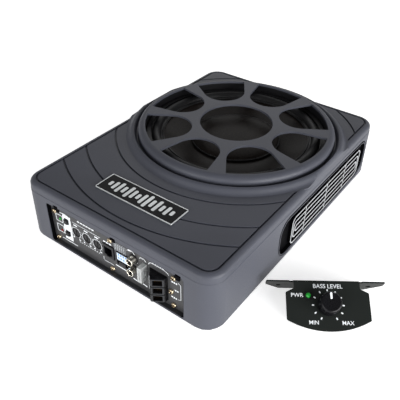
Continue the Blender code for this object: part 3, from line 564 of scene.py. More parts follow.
def collar_shape():
    """The ledge under the grille, the dark groove round it, the crest, and the slope down into the top."""
    ring = GRILLE_RADIUS
    profile = [
        (LEDGE_INNER, LEDGE_Z - 3.5 * MM),
        (ring + 5 * MM, LEDGE_Z - 3.5 * MM),
        (130 * MM, CEILING_Z + 1 * MM),
        (130 * MM, TOP_Z - 0.35 * MM),
        (128 * MM, TOP_Z + 0.05 * MM),
        (126.4 * MM, TOP_Z + 0.6 * MM),
        (125 * MM, TOP_Z + 1.8 * MM),
        (123.8 * MM, TOP_Z + 3.4 * MM),
        (122.6 * MM, TOP_Z + 4.8 * MM),
        (121.2 * MM, TOP_Z + 5.7 * MM),
        (119.6 * MM, TOP_Z + 6 * MM),
        (118.5 * MM, TOP_Z + 5.5 * MM),
        (117.7 * MM, TOP_Z + 4.6 * MM),
        (117.2 * MM, TOP_Z + 3.2 * MM),
        (116.7 * MM, TOP_Z + 1.6 * MM),
        (115.9 * MM, TOP_Z + 0.6 * MM),
        (ring + GAP + 0.5 * MM, TOP_Z + 0.4 * MM),
        (ring + GAP, TOP_Z),
        (ring + GAP, LEDGE_Z),
        (LEDGE_INNER, LEDGE_Z),
    ]
    outline = [(1.3, -20), (1.3, -4), (1.5, 1), (2, 3), (3, 4.8), (4.6, 6), (5.2, 20)]
    keep = loft([footprint(inset * MM, TOP_Z + rise * MM) for inset, rise in outline])
    return combined(moved(turned(profile, 180), RING), ("INTERSECT", keep))


def housing_shape():
    foot = [(FOOT_FILLET * (1 - math.sin(a)), RIM_Z + FOOT_FILLET * (1 - math.cos(a))) for a in
            (math.radians(18 * i) for i in range(6))]
    wall = [(0.9, 60.3), (1.05, 60.6), (1.3, 60.8), (1.35, 61.3), (1.4, 65), (1.55, 66.6), (2.1, 67.9), (3, 68.9)]
    wall += [(4.4, 69.9), (5.8, 70.4), (6.6, 70.5), (8.6, 70.5)]
    sections = [footprint(inset, z) for inset, z in foot]
    sections += [footprint(inset * MM, z * MM) for inset, z in wall]
    inside = [footprint(FOOT_FILLET + WALL, 0), footprint(WALL, RIM_Z + FOOT_FILLET), footprint(4.2 * MM, CEILING_Z)]
    opening = turned([(0, CEILING_Z - 2 * MM), (GRILLE_RADIUS + 1 * MM, CEILING_Z - 2 * MM),
                      (GRILLE_RADIUS + 1 * MM, TOP_Z + 2 * MM), (0, TOP_Z + 2 * MM)], 180)
    shell = combined(
        loft(sections),
        ("DIFFERENCE", loft(inside)),
        ("DIFFERENCE", edge_groove()),
        *[("DIFFERENCE", ring_groove(radius)) for radius in ARC_GROOVES],
        ("DIFFERENCE", moved(opening, RING)),
    )
    left, right, low, high = OPENING
    depth = PANEL_Y - FRONT_Y
    lap = 4 * MM
    rim = rounded(left - lap, right + lap, 2.6 * MM, high + lap, 3 * MM)
    front = rounded(left, right, low, high, 3 * MM, 8)
    lip = 0.9 * MM
    wide = rounded(left - lip, right + lip, low - lip, high + lip, 3 * MM + lip, 8)
    flare = loft([[(x, y, z) for x, z in outline] for outline, y in ((front, FRONT_Y + lip), (wide, FRONT_Y - 0.02 * MM))])
    notches = [("DIFFERENCE", front_prism(rounded(x + 5 * MM, x + 12 * MM, high - 2 * MM, high + 2.4 * MM, 1 * MM, 3),
                                          0.2 * MM, depth + 3 * MM)) for x in UPPER_SCREWS]
    vent = rounded(*VENT, VENT_RADIUS, 14)
    cuts = []
    for side in (-1, 1):
        through = [[(side * x, y, z) for y, z in vent] for x in (SIDE_X - 12 * MM, SIDE_X + 5 * MM)]
        cuts.append(("DIFFERENCE", loft(through)))
    posts = []
    for x, y in ((sx * 107 * MM, sy * 158.5 * MM) for sx in (-1, 1) for sy in (-1, 1)):
        post = [(1.7 * MM, RIM_Z + 0.4 * MM), (5 * MM, RIM_Z + 0.4 * MM), (5 * MM, CEILING_Z + 1 * MM)]
        post += [(0, CEILING_Z + 1 * MM), (0, 16 * MM), (1.7 * MM, 16 * MM)]
        posts.append(("UNION", moved(turned(post, 24), (x, y, 0))))
    return combined(
        shell,
        ("UNION", collar_shape()),
        ("UNION", front_prism(rim, GAP, depth - 1 * MM)),
        ("DIFFERENCE", front_prism(front, -10 * MM, depth + 3 * MM)),
        ("DIFFERENCE", flare),
        *notches,
        *cuts,
        *posts,
    )


def make_housing():
    piece("housing_shell", housing_shape(), CASTING, stands_for=("housing",), angle=28)
    left, right, low, high = OPENING
    thick = 0.35 * MM
    outer = rounded(left, right, low, high, 3 * MM, 8)
    inner = rounded(left + thick, right - thick, low + thick, high - thick, 3 * MM - thick, 8)
    reach = PANEL_Y - FRONT_Y - 1 * MM
    # A thin black sleeve over the walls of the panel opening: painted shade in the recess round the panel.
    painted_shade_sleeve = combined(front_prism(outer, 0.1 * MM, reach), ("DIFFERENCE", front_prism(inner, -1 * MM, reach + 1 * MM)))
    piece("panel_opening_painted_shade", painted_shade_sleeve, DEEP_BLACK_AND_SHADE)
    sill = rounded(left + 3 * MM, right - 3 * MM, low + thick, low + 2 * thick, 0.1 * MM, 2)
    piece("panel_opening_sill", front_prism(sill, 0.1 * MM, reach), TERMINAL_GREY)


# ---------------------------------------------------------------- grille


def window_outline():
    """One petal between two spokes, along +X."""
    outer = arc((0, 0), 105.7 * MM, -17.2, 17.2, 14)
    return outer + arc((78 * MM, 0), 26 * MM, 100, 260, 26)


def make_grille():
    shoulder = arc((GRILLE_RADIUS - 7.5 * MM, RING_Z - 6.2 * MM), 6.2 * MM, 0, 90, 10)
    shoulder = [(GRILLE_RADIUS - 7.5 * MM + (x - GRILLE_RADIUS + 7.5 * MM) * 7.5 / 6.2, z) for x, z in shoulder]
    profile = [(GRILLE_HOLE, RING_Z - GRILLE_PLATE), (SKIRT_INNER, RING_Z - GRILLE_PLATE)]
    profile += [(SKIRT_INNER, LEDGE_Z + GAP), (GRILLE_RADIUS, LEDGE_Z + GAP)] + shoulder
    profile += [(GRILLE_HOLE, RING_Z)]
    windows = []
    for index in range(8):
        shape = prism(window_outline(), RING_Z - 6 * MM, RING_Z + 2 * MM)
        windows.append(("DIFFERENCE", moved(shape, RING, Matrix.Rotation(math.radians(45 * index), 4, "Z"))))
    shape = combined(moved(turned(profile, 160), RING), *windows)
    piece("grille_ring", shape, CASTING, stands_for=("grille",), bevel=0.8 * MM, angle=40, segments=3)
    # A thin black band on the inside of the skirt, under the plate: painted shade.
    skirt_shade = [(SKIRT_INNER - 0.4 * MM, LEDGE_Z + 0.3 * MM), (SKIRT_INNER, LEDGE_Z + 0.3 * MM),
              (SKIRT_INNER, RING_Z - GRILLE_PLATE - 0.1 * MM), (SKIRT_INNER - 0.4 * MM, RING_Z - GRILLE_PLATE - 0.1 * MM)]
    piece("grille_painted_shade", moved(turned(skirt_shade, 160), RING), BLACK, angle=40)


# ---------------------------------------------------------------- woofer


def make_woofer():
    start, end = 19 * MM, 88 * MM
    upper = []
    for i in range(13):
        t = i / 12
        radius = start + (end - start) * t
        height = 56.2 * MM + (radius - start) * 11.3 / 69 - 0.9 * MM * math.sin(math.pi * t)
        upper.append((radius, height))
    lower = [(r, z - 1 * MM) for r, z in reversed(upper)]
    piece("cone_surface", moved(turned(upper + lower, 120), RING), PAPER, "woofer_motion",
          ("woofer_cone",), angle=60)
    edge_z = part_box("dust_cap")[0].z + 1 * MM
    rise, radius = 7 * MM, 51 * MM
    dome = [(radius * math.cos(a), edge_z + rise * math.sin(a)) for a in (math.pi / 2 * i / 16 for i in range(16))]
    dome.append((0, edge_z + rise))
    dome = [(radius + 0.2 * MM, edge_z - 0.9 * MM)] + dome
    under = [(max(r - 0.8 * MM, 0), z - 0.8 * MM) for r, z in reversed(dome)]
    piece("dust_cap_dome", moved(turned(dome + under[:-1], 120), RING), PAPER, "woofer_motion",
          ("dust_cap",), angle=60)
    beads = []
    for bead_radius, z in ((radius + 0.6 * MM, edge_z - 0.2 * MM), (85.4 * MM, 68.6 * MM)):
        line = [(bead_radius * math.cos(a), bead_radius * math.sin(a), z) for a in
                (2 * math.pi * i / 120 for i in range(120))]
        beads.append(moved(tube(line, 0.9 * MM, 8, closed=True), RING))
    piece("glue_beads", merged(*beads), RUBBER, "woofer_motion", angle=60)


def radial_sectors(name, profile, count, finish_made, node):
    """A ring in sectors, each a piece of its own, spanning from the moving voice coil side to the fixed basket side.
    """
    for index in range(count):
        start = 360 * index / count
        shape = moved(turned(profile, 6, (start, start + 360 / count)), RING)
        sector = piece(f"{name}_{index + 1}", shape, finish_made, None, (node,), angle=50)
        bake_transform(sector)


def make_suspension():
    low, high = (corner.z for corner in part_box("surround"))
    inner_z, outer_z = low, 69.6 * MM
    middle, roll = 93.2 * MM, 5.2 * MM
    crest = low + 1 * MM
    over = [(middle - x, crest + y) for x, y in arc((0, 0), roll, 6, 174, 14)]
    under = [(middle - x, crest + y) for x, y in arc((0, 0), roll - 0.9 * MM, 174, 6, 14)]
    profile = [(84 * MM, inner_z), (84 * MM, inner_z + 0.9 * MM), (87.4 * MM, inner_z + 1 * MM)] + over
    profile += [(104.4 * MM, outer_z + 0.9 * MM), (104.4 * MM, outer_z)] + under
    radial_sectors("surround", profile, 20, RUBBER, "surround")
    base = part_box("spider")[0].z
    waves = []
    for i in range(29):
        radius = 19 * MM + 35 * MM * i / 28
        swing = 0.5 - 0.5 * math.cos(2 * math.pi * (radius - 25 * MM) / (12 * MM))
        fade = max(0.0, min(1.0, (50 * MM - radius) / (4 * MM)))
        waves.append((radius, base + 2 * MM * swing * fade))
    cloth = waves + [(r, z + 0.7 * MM) for r, z in reversed(waves)]
    radial_sectors("spider", cloth, 12, SPIDER_CLOTH, "spider")
    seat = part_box("surround_gasket")
    ring = softened([(99.4 * MM, seat[0].z), (104.4 * MM, seat[0].z), (104.4 * MM, seat[1].z), (99.4 * MM, seat[1].z)],
                    0.5 * MM)
    piece("frame_gasket", moved(turned(ring, 120), RING), RUBBER, stands_for=("surround_gasket",))


# ---------------------------------------------------------------- screws


def screw_shape(head, rise, shank, length):
    """A pan head with a cross recess, on a plain shank, its head towards +Z."""
    profile = [(0, 0.5 * MM), (head * 0.45, 0.5 * MM), (head * 0.62, rise * 0.95), (head * 0.8, rise * 0.82)]
    profile += [(head, rise * 0.35), (head, 0.3 * MM), (shank, 0.3 * MM), (shank, -length)]
    profile += [(shank * 0.4, -length - 1 * MM), (0, -length - 1 * MM)]
    arms = [block((head * width, head * depth, rise * 2), (0, 0, rise * 1.2)) for width, depth in ((1.3, 0.4), (0.4, 1.3))]
    return combined(turned(profile, 28), *[("DIFFERENCE", arm) for arm in arms])


def make_screws():
    turns = (12, 50, 77, 20, 64, 35, 5)
    for index, turn in enumerate(turns, 1):
        node = f"panel_screw_{index}"
        low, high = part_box(node)
        middle = (low + high) / 2
        shape = moved(screw_shape(2.9 * MM, 2 * MM, 1.35 * MM, 5.3 * MM), (0, 0, 0),
                      Matrix.Rotation(math.radians(turn), 4, "Z"))
        piece(f"{node}_head", moved(shape, (middle.x, PANEL_Y, middle.z), FACING_FRONT), ZINC,
              stands_for=(node,), angle=40)
        # A black cone inside the head's cross: painted shade down in the recess.
        recess_shade = turned([(0, 0.52 * MM), (1.35 * MM, 0.52 * MM), (1.5 * MM, 1.1 * MM), (0, 0.9 * MM)], 20)
        piece(f"{node}_recess", moved(recess_shade, (middle.x, PANEL_Y, middle.z), FACING_FRONT), BLACK)
        if index in (1, 3, 5):
            # A black patch up and right of each upper screw: painted shadow in the notch of the housing's lip.
            notch_shadow = rounded(middle.x + 1 * MM, middle.x + 7.6 * MM, middle.z + 0.6 * MM, middle.z + 7.6 * MM, 0.8 * MM, 3)
            piece(f"{node}_clip", front_prism(notch_shadow, 0.05 * MM, 0.9 * MM), DEEP_BLACK_AND_SHADE)
    for index in range(1, 5):
        node = f"base_screw_{index}"
        low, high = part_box(node)
        middle = (low + high) / 2
        profile = [(0, 0.2 * MM), (2.9 * MM, 0.2 * MM), (2.9 * MM, 0.8 * MM), (1.35 * MM, 1.6 * MM)]
        profile += [(1.35 * MM, 10.4 * MM), (0.5 * MM, 11 * MM), (0, 11 * MM)]
        slots = [block((3.6 * MM, 0.8 * MM, 1.2 * MM)), block((0.8 * MM, 3.6 * MM, 1.2 * MM))]
        shape = combined(turned(profile, 28), *[("DIFFERENCE", s) for s in slots])
        piece(f"{node}_head", moved(shape, (middle.x, middle.y, 0)), ZINC, stands_for=(node,),
              angle=40)


# ---------------------------------------------------------------- front panel


def flat_print(shapes, thickness=0.06 * MM, lift=0.02 * MM):
    """Printed marks on the panel: outlines in millimetres, laid a hair in front of it."""
    made = []
    for outline in shapes:
        made.append(front_prism([(x * MM, z * MM) for x, z in outline], lift, lift + thickness))
    return merged(*made)


def stroke(points, width):
    """A band of a width along a line of points, as one closed outline."""
    line = [Vector(p) for p in points]
    left, right = [], []
    for i, point in enumerate(line):
        before, after = line[max(i - 1, 0)], line[min(i + 1, len(line) - 1)]
        ahead = (after - before).normalized()
        side = Vector((-ahead.y, ahead.x)) * width / 2
        left.append(tuple(point + side))
        right.append(tuple(point - side))
    return right + left[::-1]


def ring_print(x, z, radius, width, start=0, end=360):
    """A printed ring, as short overlapping bands."""
    steps = max(3, int(abs(end - start) / 15))
    points = arc((x, z), radius, start, end, steps)
    return [stroke(points[i:i + 2], width) for i in range(steps)]


def frame_print(left, right, low, high, width):
    corners = [(left, low), (right, low), (right, high), (left, high), (left, low)]
    return [stroke([a, b], width) for a, b in zip(corners, corners[1:])]


def make_panel_print():
    white = []
    # The white field that carries the two buttons, with an outlined box for each lamp
    hole_left, hole_right = -68.4, -61.6
    for low, high in ((13.5, 18.4), (25.6, 34.4), (41.6, 45.6)):
        white.append([(-70.6, low), (-59.2, low), (-58.4, high), (-69.6, high)])
    for low, high in ((18.4, 25.6), (34.4, 41.6)):
        white.append([(-71, low), (hole_left, low), (hole_left, high), (-70, high)])
        white.append([(hole_right, low), (-58.9, low), (-58.6, high), (hole_right, high)])
    white += frame_print(-80.6, -71, 32.9, 41.5, 0.7)
    white += frame_print(-80.9, -71.4, 18.8, 28.2, 0.7)
    white.append(stroke([(-80, 44), (-75, 45.6), (-66, 46.6), (-60.6, 45.2)], 0.8))
    white.append(stroke([(-75.9, 10.8), (-53.1, 10.7)], 0.9))
    # Dials round the three controls
    for x in (value / MM for value in POT_X):
        z = POT_Z / MM
        white += ring_print(x, z, 6.3, 0.45, -60, 240)
        for angle in range(-60, 241, 30):
            direction = Vector((math.cos(math.radians(angle)), math.sin(math.radians(angle))))
            centre = Vector((x, z))
            white.append(stroke([tuple(centre + direction * 7), tuple(centre + direction * 7.7)], 0.5))
        white.append(stroke([(x - 2.6, 39.2), (x + 2.6, 39.2)], 1.5))
        white.append(stroke([(x - 5.4, 22.2), (x - 3.4, 22.2)], 1.4))
        white.append(stroke([(x + 3.2, 22.0), (x + 5.6, 22.0)], 1.4))
    white.append(stroke([(-56.2, 42), (-16.8, 42)], 0.45))
    for start in range(0, 24, 4):
        white.append(stroke([(-48.1 + start, 46.9), (-45 + start, 46.9)], 1.5))
    for start in range(0, 30, 3):
        white.append(stroke([(-48.4 + start, 19.6), (-46.9 + start, 19.6)], 0.7))
    # Round the two sockets
    for start in (-12.6, -8.8, -5):
        white.append(stroke([(start, 40.8), (start + 3, 40.8)], 1.5))
    white.append(stroke([(-14.6, 19), (-14.6, 15.2), (-13.6, 14.2), (-1.4, 14.2)], 0.55))
    white.append(stroke([(1.8, 17.2), (15.4, 17)], 1.1))
    # Phono sockets and fuse
    white += ring_print(23.5, 43.6, 5.2, 0.6, 20, 150)
    white += ring_print(38.4, 42.6, 4.4, 0.6, 25, 150)
    white.append(stroke([(20.6, 47.2), (24.4, 48.2)], 1.2))
    white.append(stroke([(35.2, 46.4), (39.4, 46.8)], 1.2))
    white.append(stroke([(24.6, 12.4), (29.4, 11.6)], 1.3))
    white.append(stroke([(36.8, 12.6), (42.4, 11.4)], 1.3))
    white.append(stroke([(30.2, 36.9), (32, 36.9)], 1.2))
    # Power terminal: bracket line over it and the three labels beside it
    white.append(stroke([(45.6, 44), (46.6, 46.6), (48.6, 47.6), (64, 47.6), (68.4, 46), (69.6, 44)], 0.6))
    for start in range(0, 15, 3):
        white.append(stroke([(50 + start, 48.2), (51.8 + start, 48.2)], 1.3))
    white.append(stroke([(45.3, 29), (45.3, 11.2)], 0.55))
    for start, z, end in ((72.6, 38.9, 79.8), (76.4, 29.6, 80.8), (72.2, 19, 79.6)):
        position = start
        while position < end - 1:
            white.append(stroke([(position, z), (position + 1.7, z)], 1.7))
            position += 2.4
    white.append(stroke([(80.4, 41), (82.6, 40), (83.2, 38), (83.2, 20.4), (80.2, 19.4)], 0.6))
    piece("panel_print", flat_print(white), PRINT)
    grey = []
    for row in range(4):
        for column in range(5):
            left, low = 2.8 + column * 2.7, 38.9 + row * 1.95
            grey.append([(left, low), (left + 1.9, low), (left + 1.9, low + 1.2), (left, low + 1.2)])
    grey += frame_print(2.1, 16.7, 38, 47, 0.35)
    piece("pin_chart_print", flat_print(grey), GREY_PRINT)


def make_controls():
    for name, x in zip(("level", "bass", "crossover"), POT_X):
        node = f"{name}_pot_knob"
        radius = 4.7 * MM
        cap = [(0, -0.5 * MM), (radius - 0.7 * MM, -0.5 * MM), (radius - 0.25 * MM, -0.75 * MM), (radius, -1.2 * MM)]
        cap += [(radius, -2.7 * MM), (2 * MM, -2.7 * MM), (2 * MM, -8 * MM), (0, -8 * MM)]
        shape = combined(
            turned(cap, 40),
            ("DIFFERENCE", block((1.1 * MM, 6.4 * MM, 2 * MM))),
        )
        piece(f"{name}_trimmer", moved(shape, (x, PANEL_Y, POT_Z), FACING_FRONT), GLOSS_BLACK,
              f"{name}_knob", (node,), angle=35)
    for node, body in (("phase_button", "phase_push"), ("power_mode_button", "power_mode_push")):
        low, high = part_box(node)
        size, centre = high - low, (low + high) / 2
        shape = block(size, centre)
        piece(f"{node}_cap", shape, GLOSS_BLACK, body, (node,), bevel=0.7 * MM, segments=3)
    for node, lens in (("power_led", GREEN_LENS), ("protection_led", RED_LENS)):
        low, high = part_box(node)
        centre = (low + high) / 2
        profile = [(0, -5 * MM), (1.5 * MM, -5 * MM)] + arc((0, 0), 1.5 * MM, 0, 84, 8) + [(0, 1.5 * MM)]
        piece(f"{node}_lens", moved(turned(profile, 28), (centre.x, PANEL_Y, centre.z), FACING_FRONT), lens,
              stands_for=(node,), angle=50)


def socket_body(node):
    low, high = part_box(node)
    return low, high, (low + high) / 2


def make_sockets():
    low, high, centre = socket_body("remote_jack")
    mouth = rounded(low.x + 2.2 * MM, high.x - 2.2 * MM, low.z + 3.2 * MM, high.z - 3.2 * MM, 0.6 * MM, 3)
    notch = [(centre.x - 2.4 * MM, low.z + 1.6 * MM), (centre.x + 2.4 * MM, low.z + 1.6 * MM),
             (centre.x + 2.4 * MM, low.z + 5 * MM), (centre.x - 2.4 * MM, low.z + 5 * MM)]
    body = prism([(low.x, low.z), (high.x, low.z), (high.x, high.z), (low.x, high.z)],
                 PANEL_Y - high.y, PANEL_Y - low.y)
    body = moved(body, (0, PANEL_Y, 0), FACING_FRONT)
    shape = combined(body, ("DIFFERENCE", front_prism(mouth, -7 * MM, 3 * MM)),
                     ("DIFFERENCE", front_prism(notch, -7 * MM, 3 * MM)))
    piece("control_socket", shape, GLOSS_BLACK, stands_for=("remote_jack",), bevel=0.25 * MM)
    pins = [block((0.5 * MM, 5.6 * MM, 0.5 * MM), (centre.x + (i - 2.5) * 1.3 * MM, PANEL_Y + 4 * MM, high.z - 5 * MM))
            for i in range(6)]
    piece("control_socket_contacts", merged(*pins), BRASS)

    low, high, centre = socket_body("speaker_input")
    body = prism([(low.x, low.z), (high.x, low.z), (high.x, high.z), (low.x, high.z)],
                 PANEL_Y - high.y, PANEL_Y - low.y)
    body = moved(body, (0, PANEL_Y, 0), FACING_FRONT)
    mouth = rounded(low.x + 1 * MM, high.x - 1 * MM, low.z + 1 * MM, high.z - 1 * MM, 0.5 * MM, 3)
    shape = combined(body, ("DIFFERENCE", front_prism(mouth, -7 * MM, 3 * MM)))
    piece("speaker_socket", shape, GLOSS_BLACK, stands_for=("speaker_input",), bevel=0.3 * MM)
    core_low = low.z + 6.6 * MM
    core = front_prism(rounded(low.x + 1.1 * MM, high.x - 1.1 * MM, core_low, high.z - 0.6 * MM, 0.5 * MM, 3),
                       -5 * MM, 1.1 * MM)
    pitch = 3.2 * MM
    holes = []
    for row in range(2):
        for column in range(4):
            x, z = centre.x + (column - 1.5) * pitch, core_low + (row + 0.5) * 4.3 * MM + 0.7 * MM
            holes.append((x - 1 * MM, x + 1 * MM, z - 1.5 * MM, z + 1.5 * MM))
    cuts = [("DIFFERENCE", front_prism(rounded(*hole, 0.4 * MM, 2), 0.3 * MM, 3 * MM)) for hole in holes]
    piece("speaker_socket_core", combined(core, *cuts), WHITE_PLASTIC, bevel=0.15 * MM)
    plugs = [front_prism(rounded(*hole, 0.4 * MM, 2), 0.2 * MM, 0.5 * MM) for hole in holes]
    piece("speaker_socket_ways", merged(*plugs), BLUE_PLASTIC)
    latch = front_prism(softened([(centre.x - 4.4 * MM, low.z + 1.2 * MM), (centre.x + 4.6 * MM, low.z + 1.2 * MM),
                                  (centre.x + 4.6 * MM, low.z + 5.8 * MM), (centre.x - 4.4 * MM, low.z + 5.8 * MM)],
                                 0.7 * MM), -3 * MM, 1.9 * MM)
    piece("speaker_socket_latch", latch, GLOSS_BLACK, bevel=0.2 * MM)


def make_phono():
    for node in ("rca_ring_right", "rca_ring_left"):
        low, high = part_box(node)
        centre = (low + high) / 2
        back, front = PANEL_Y - high.y, PANEL_Y - low.y
        profile = [(3.3 * MM, back), (4.2 * MM, back), (4.2 * MM, front - 0.6 * MM), (4 * MM, front - 0.15 * MM)]
        profile += [(3.75 * MM, front), (3.5 * MM, front - 0.15 * MM), (3.3 * MM, front - 0.6 * MM)]
        piece(f"{node}_sleeve", moved(turned(profile, 44), (centre.x, PANEL_Y, centre.z), FACING_FRONT), NICKEL,
              stands_for=(node,), angle=50)
        washer = [(4.25 * MM, 0.05 * MM), (5.5 * MM, 0.05 * MM), (5.4 * MM, 0.9 * MM), (4.25 * MM, 1 * MM)]
        piece(f"{node}_washer", moved(turned(washer, 44), (centre.x, PANEL_Y, centre.z), FACING_FRONT), BLACK,
              angle=50)
    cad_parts["rca_block"].data.materials.clear()
    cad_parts["rca_block"].data.materials.append(GLOSS_BLACK)


def make_fuse():
    low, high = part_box("fuse")
    size, centre = high - low, (low + high) / 2
    body = block((size.x, size.y, size.z), centre)
    waist = [block((6 * MM, 3 * MM, 9 * MM), (centre.x + side * 4.6 * MM, low.y + 4.5 * MM, centre.z))
             for side in (-1, 1)]
    window = block((8 * MM, 1.2 * MM, 7 * MM), (centre.x, low.y + 5.5 * MM, centre.z))
    grip = block((1.2 * MM, 2 * MM, 12 * MM), (centre.x, low.y, centre.z))
    shape = combined(body, *[("DIFFERENCE", w) for w in waist], ("DIFFERENCE", grip), ("DIFFERENCE", window))
    piece("fuse_body", shape, FUSE_PLASTIC, "fuse_link", ("fuse",), bevel=1.3 * MM, segments=4)
    link = [(-4 * MM, 0), (-2 * MM, 2.2 * MM), (2 * MM, 2.2 * MM), (4 * MM, 0)]
    wire = tube([(centre.x, low.y + 5.5 * MM - y, centre.z + z) for z, y in link], 0.45 * MM, 6)
    piece("fuse_wire", wire, ALUMINIUM, "fuse_link", angle=60)


def make_terminal():
    low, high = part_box("power_terminal")
    turn = math.radians(33.7)
    corner = Vector((56 * MM, PANEL_Y - 11.4 * MM))
    far = Vector((67.8 * MM, PANEL_Y - 3.5 * MM))
    outline = [(low.x, high.y), (low.x, PANEL_Y), tuple(corner), tuple(far), (high.x, high.y)]
    body = prism(outline, low.z, high.z)
    along = (far - corner).normalized()
    outward = Vector((along.y, -along.x))
    middle = (corner + far) / 2
    spin = Matrix.Rotation(turn, 4, "Z")
    steps = []
    rims = []
    clamps = []
    for index in range(3):
        z = low.z + (high.z - low.z) * (index + 0.5) / 3
        steps.append(("DIFFERENCE", moved(block((8.6 * MM, 16 * MM, 6.6 * MM)), (*middle, z), spin)))
        inner = rounded(-4.6 * MM, 4.6 * MM, -3.5 * MM, 3.5 * MM, 0.6 * MM, 3)
        outer = rounded(-6.3 * MM, 6.3 * MM, -4.5 * MM, 4.5 * MM, 0.9 * MM, 3)
        hollow = combined(prism(outer, 0, 0.9 * MM), ("DIFFERENCE", prism(inner, -1 * MM, 2 * MM)))
        rims.append(moved(hollow, (*(middle - outward * 0.1 * MM), z), spin @ FACING_FRONT))
        at = middle - outward * 7.2 * MM
        cage = combined(block((7.6 * MM, 5 * MM, 6 * MM)), ("DIFFERENCE", block((5.4 * MM, 9 * MM, 3 * MM))))
        clamps.append(moved(cage, (*at, z), spin))
        screw = turned([(0, 2.9 * MM), (1.9 * MM, 2.9 * MM), (1.9 * MM, 0.4 * MM), (0, 0.4 * MM)], 20)
        clamps.append(moved(screw, (*(middle - outward * 4.4 * MM), z)))
    for index in (1, 2):
        z = low.z + (high.z - low.z) * index / 3
        line = moved(block((30 * MM, 1.4 * MM, 0.7 * MM)), (*(corner + along * 5 * MM), z), spin)
        steps.append(("DIFFERENCE", line))
    piece("power_terminal_body", combined(body, *steps), GLOSS_BLACK,
          stands_for=("power_terminal",), bevel=0.35 * MM)
    piece("power_terminal_frames", merged(*rims), TERMINAL_GREY, bevel=0.2 * MM)
    piece("power_terminal_clamps", merged(*clamps), BRASS, bevel=0.15 * MM)


# ---------------------------------------------------------------- vents and badge


def vent_bar(side, outline, low_x, high_x):
    """A bar standing out of a side wall: an outline in Y and Z between two distances from the middle of the box."""
    return loft([[(side * x, y, z) for y, z in outline] for x in (low_x, high_x)])


def vent_loop(side, outer, inner, low_x, high_x):
    hole = vent_bar(side, inner, low_x - 2 * MM, high_x + 2 * MM)
    return combined(vent_bar(side, outer, low_x, high_x), ("DIFFERENCE", hole))


def make_vents():
    front, rear, low, high = VENT
    lap = 3 * MM
    flush_x = SIDE_X - 1 * MM
    rows = [SLAT_TOP - SLAT_PITCH * i for i in range(6)]
    edges = [SLATS_FRONT, *VENT_DIVIDERS, SLATS_REAR]
    for side, name in ((1, "right_vent"), (-1, "left_vent")):
        plate_low, plate_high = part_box(name)
        face_x = plate_high.x if side > 0 else -plate_low.x
        plate = rounded(front - lap, rear + lap, low - lap, high + lap, VENT_RADIUS + lap, 12)
        cuts = []
        for upper, lower in zip(rows, rows[1:]):
            for start, end in zip(edges, edges[1:]):
                hole = block((20 * MM, end - start - 3 * MM, 3.6 * MM), (side * face_x, (start + end) / 2, (upper + lower) / 2))
                cuts.append(("DIFFERENCE", hole))
        base = vent_bar(side, plate, face_x - 5 * MM, face_x)
        piece(f"{name}_plate", combined(base, *cuts), DEEP_BLACK_AND_SHADE, stands_for=(name,))
        loops = []
        faces = []
        for index in range(3):
            step = 3.4 * MM * index
            radius = 6.5 * MM - 1.6 * MM * index
            outline = [SLATS_FRONT + step, SLATS_REAR - step, rows[5 - index], rows[index]]
            outer = rounded(*(edge + grow for edge, grow in zip(outline, (-SLAT_HALF, SLAT_HALF) * 2)), radius + SLAT_HALF, 8)
            inner = rounded(*(edge - grow for edge, grow in zip(outline, (-SLAT_HALF, SLAT_HALF) * 2)), radius - SLAT_HALF, 8)
            loops.append(vent_loop(side, outer, inner, face_x - 1 * MM, flush_x - FACING))
            # A thin silver facing on each loop's front: machined bright edge, and painted highlight along the slats.
            faces.append(vent_loop(side, outer, inner, flush_x - FACING, flush_x))
        piece(f"{name}_slats", merged(*loops), DEEP_BLACK_AND_SHADE)
        piece(f"{name}_slat_faces", merged(*faces), SLAT_SILVER_AND_HIGHLIGHT, bevel=0.12 * MM)
        posts = []
        bosses = []
        for y in VENT_DIVIDERS:
            for upper, lower in zip(rows, rows[1:]):
                post = rounded(y - 0.6 * MM, y + 0.6 * MM, lower, upper, 0.3 * MM, 2)
                posts.append(vent_bar(side, post, flush_x - 1.4 * MM, flush_x - 0.6 * MM))
            boss = rounded(y - 2.6 * MM, y + 2.6 * MM, rows[0] + 1 * MM, high - 0.8 * MM, 1.2 * MM, 3)
            bosses.append(vent_bar(side, boss, face_x - 1 * MM, flush_x - 0.2 * MM))
        piece(f"{name}_dividers", merged(*posts), SLAT_SILVER_AND_HIGHLIGHT)
        piece(f"{name}_bosses", merged(*bosses), DEEP_BLACK_AND_SHADE, bevel=0.3 * MM)
        inset = 2 * MM
        wall = 0.8 * MM
        rim_x = SIDE_X - 0.5 * MM
        outer = rounded(front + inset, rear - inset, low + 0.5 * MM, high - inset, VENT_RADIUS - inset, 12)
        inset += wall
        inner = rounded(front + inset, rear - inset, low + 0.5 * MM + wall, high - inset, VENT_RADIUS - inset, 12)
        rim = vent_loop(side, outer, inner, face_x - 1 * MM, rim_x - FACING)
        piece(f"{name}_rim", rim, DEEP_BLACK_AND_SHADE)
        # The rim's thin front face in the casting's colour: painted highlight along the rim's edge.
        piece(f"{name}_rim_painted_highlight", vent_loop(side, outer, inner, rim_x - FACING, rim_x), CASTING)


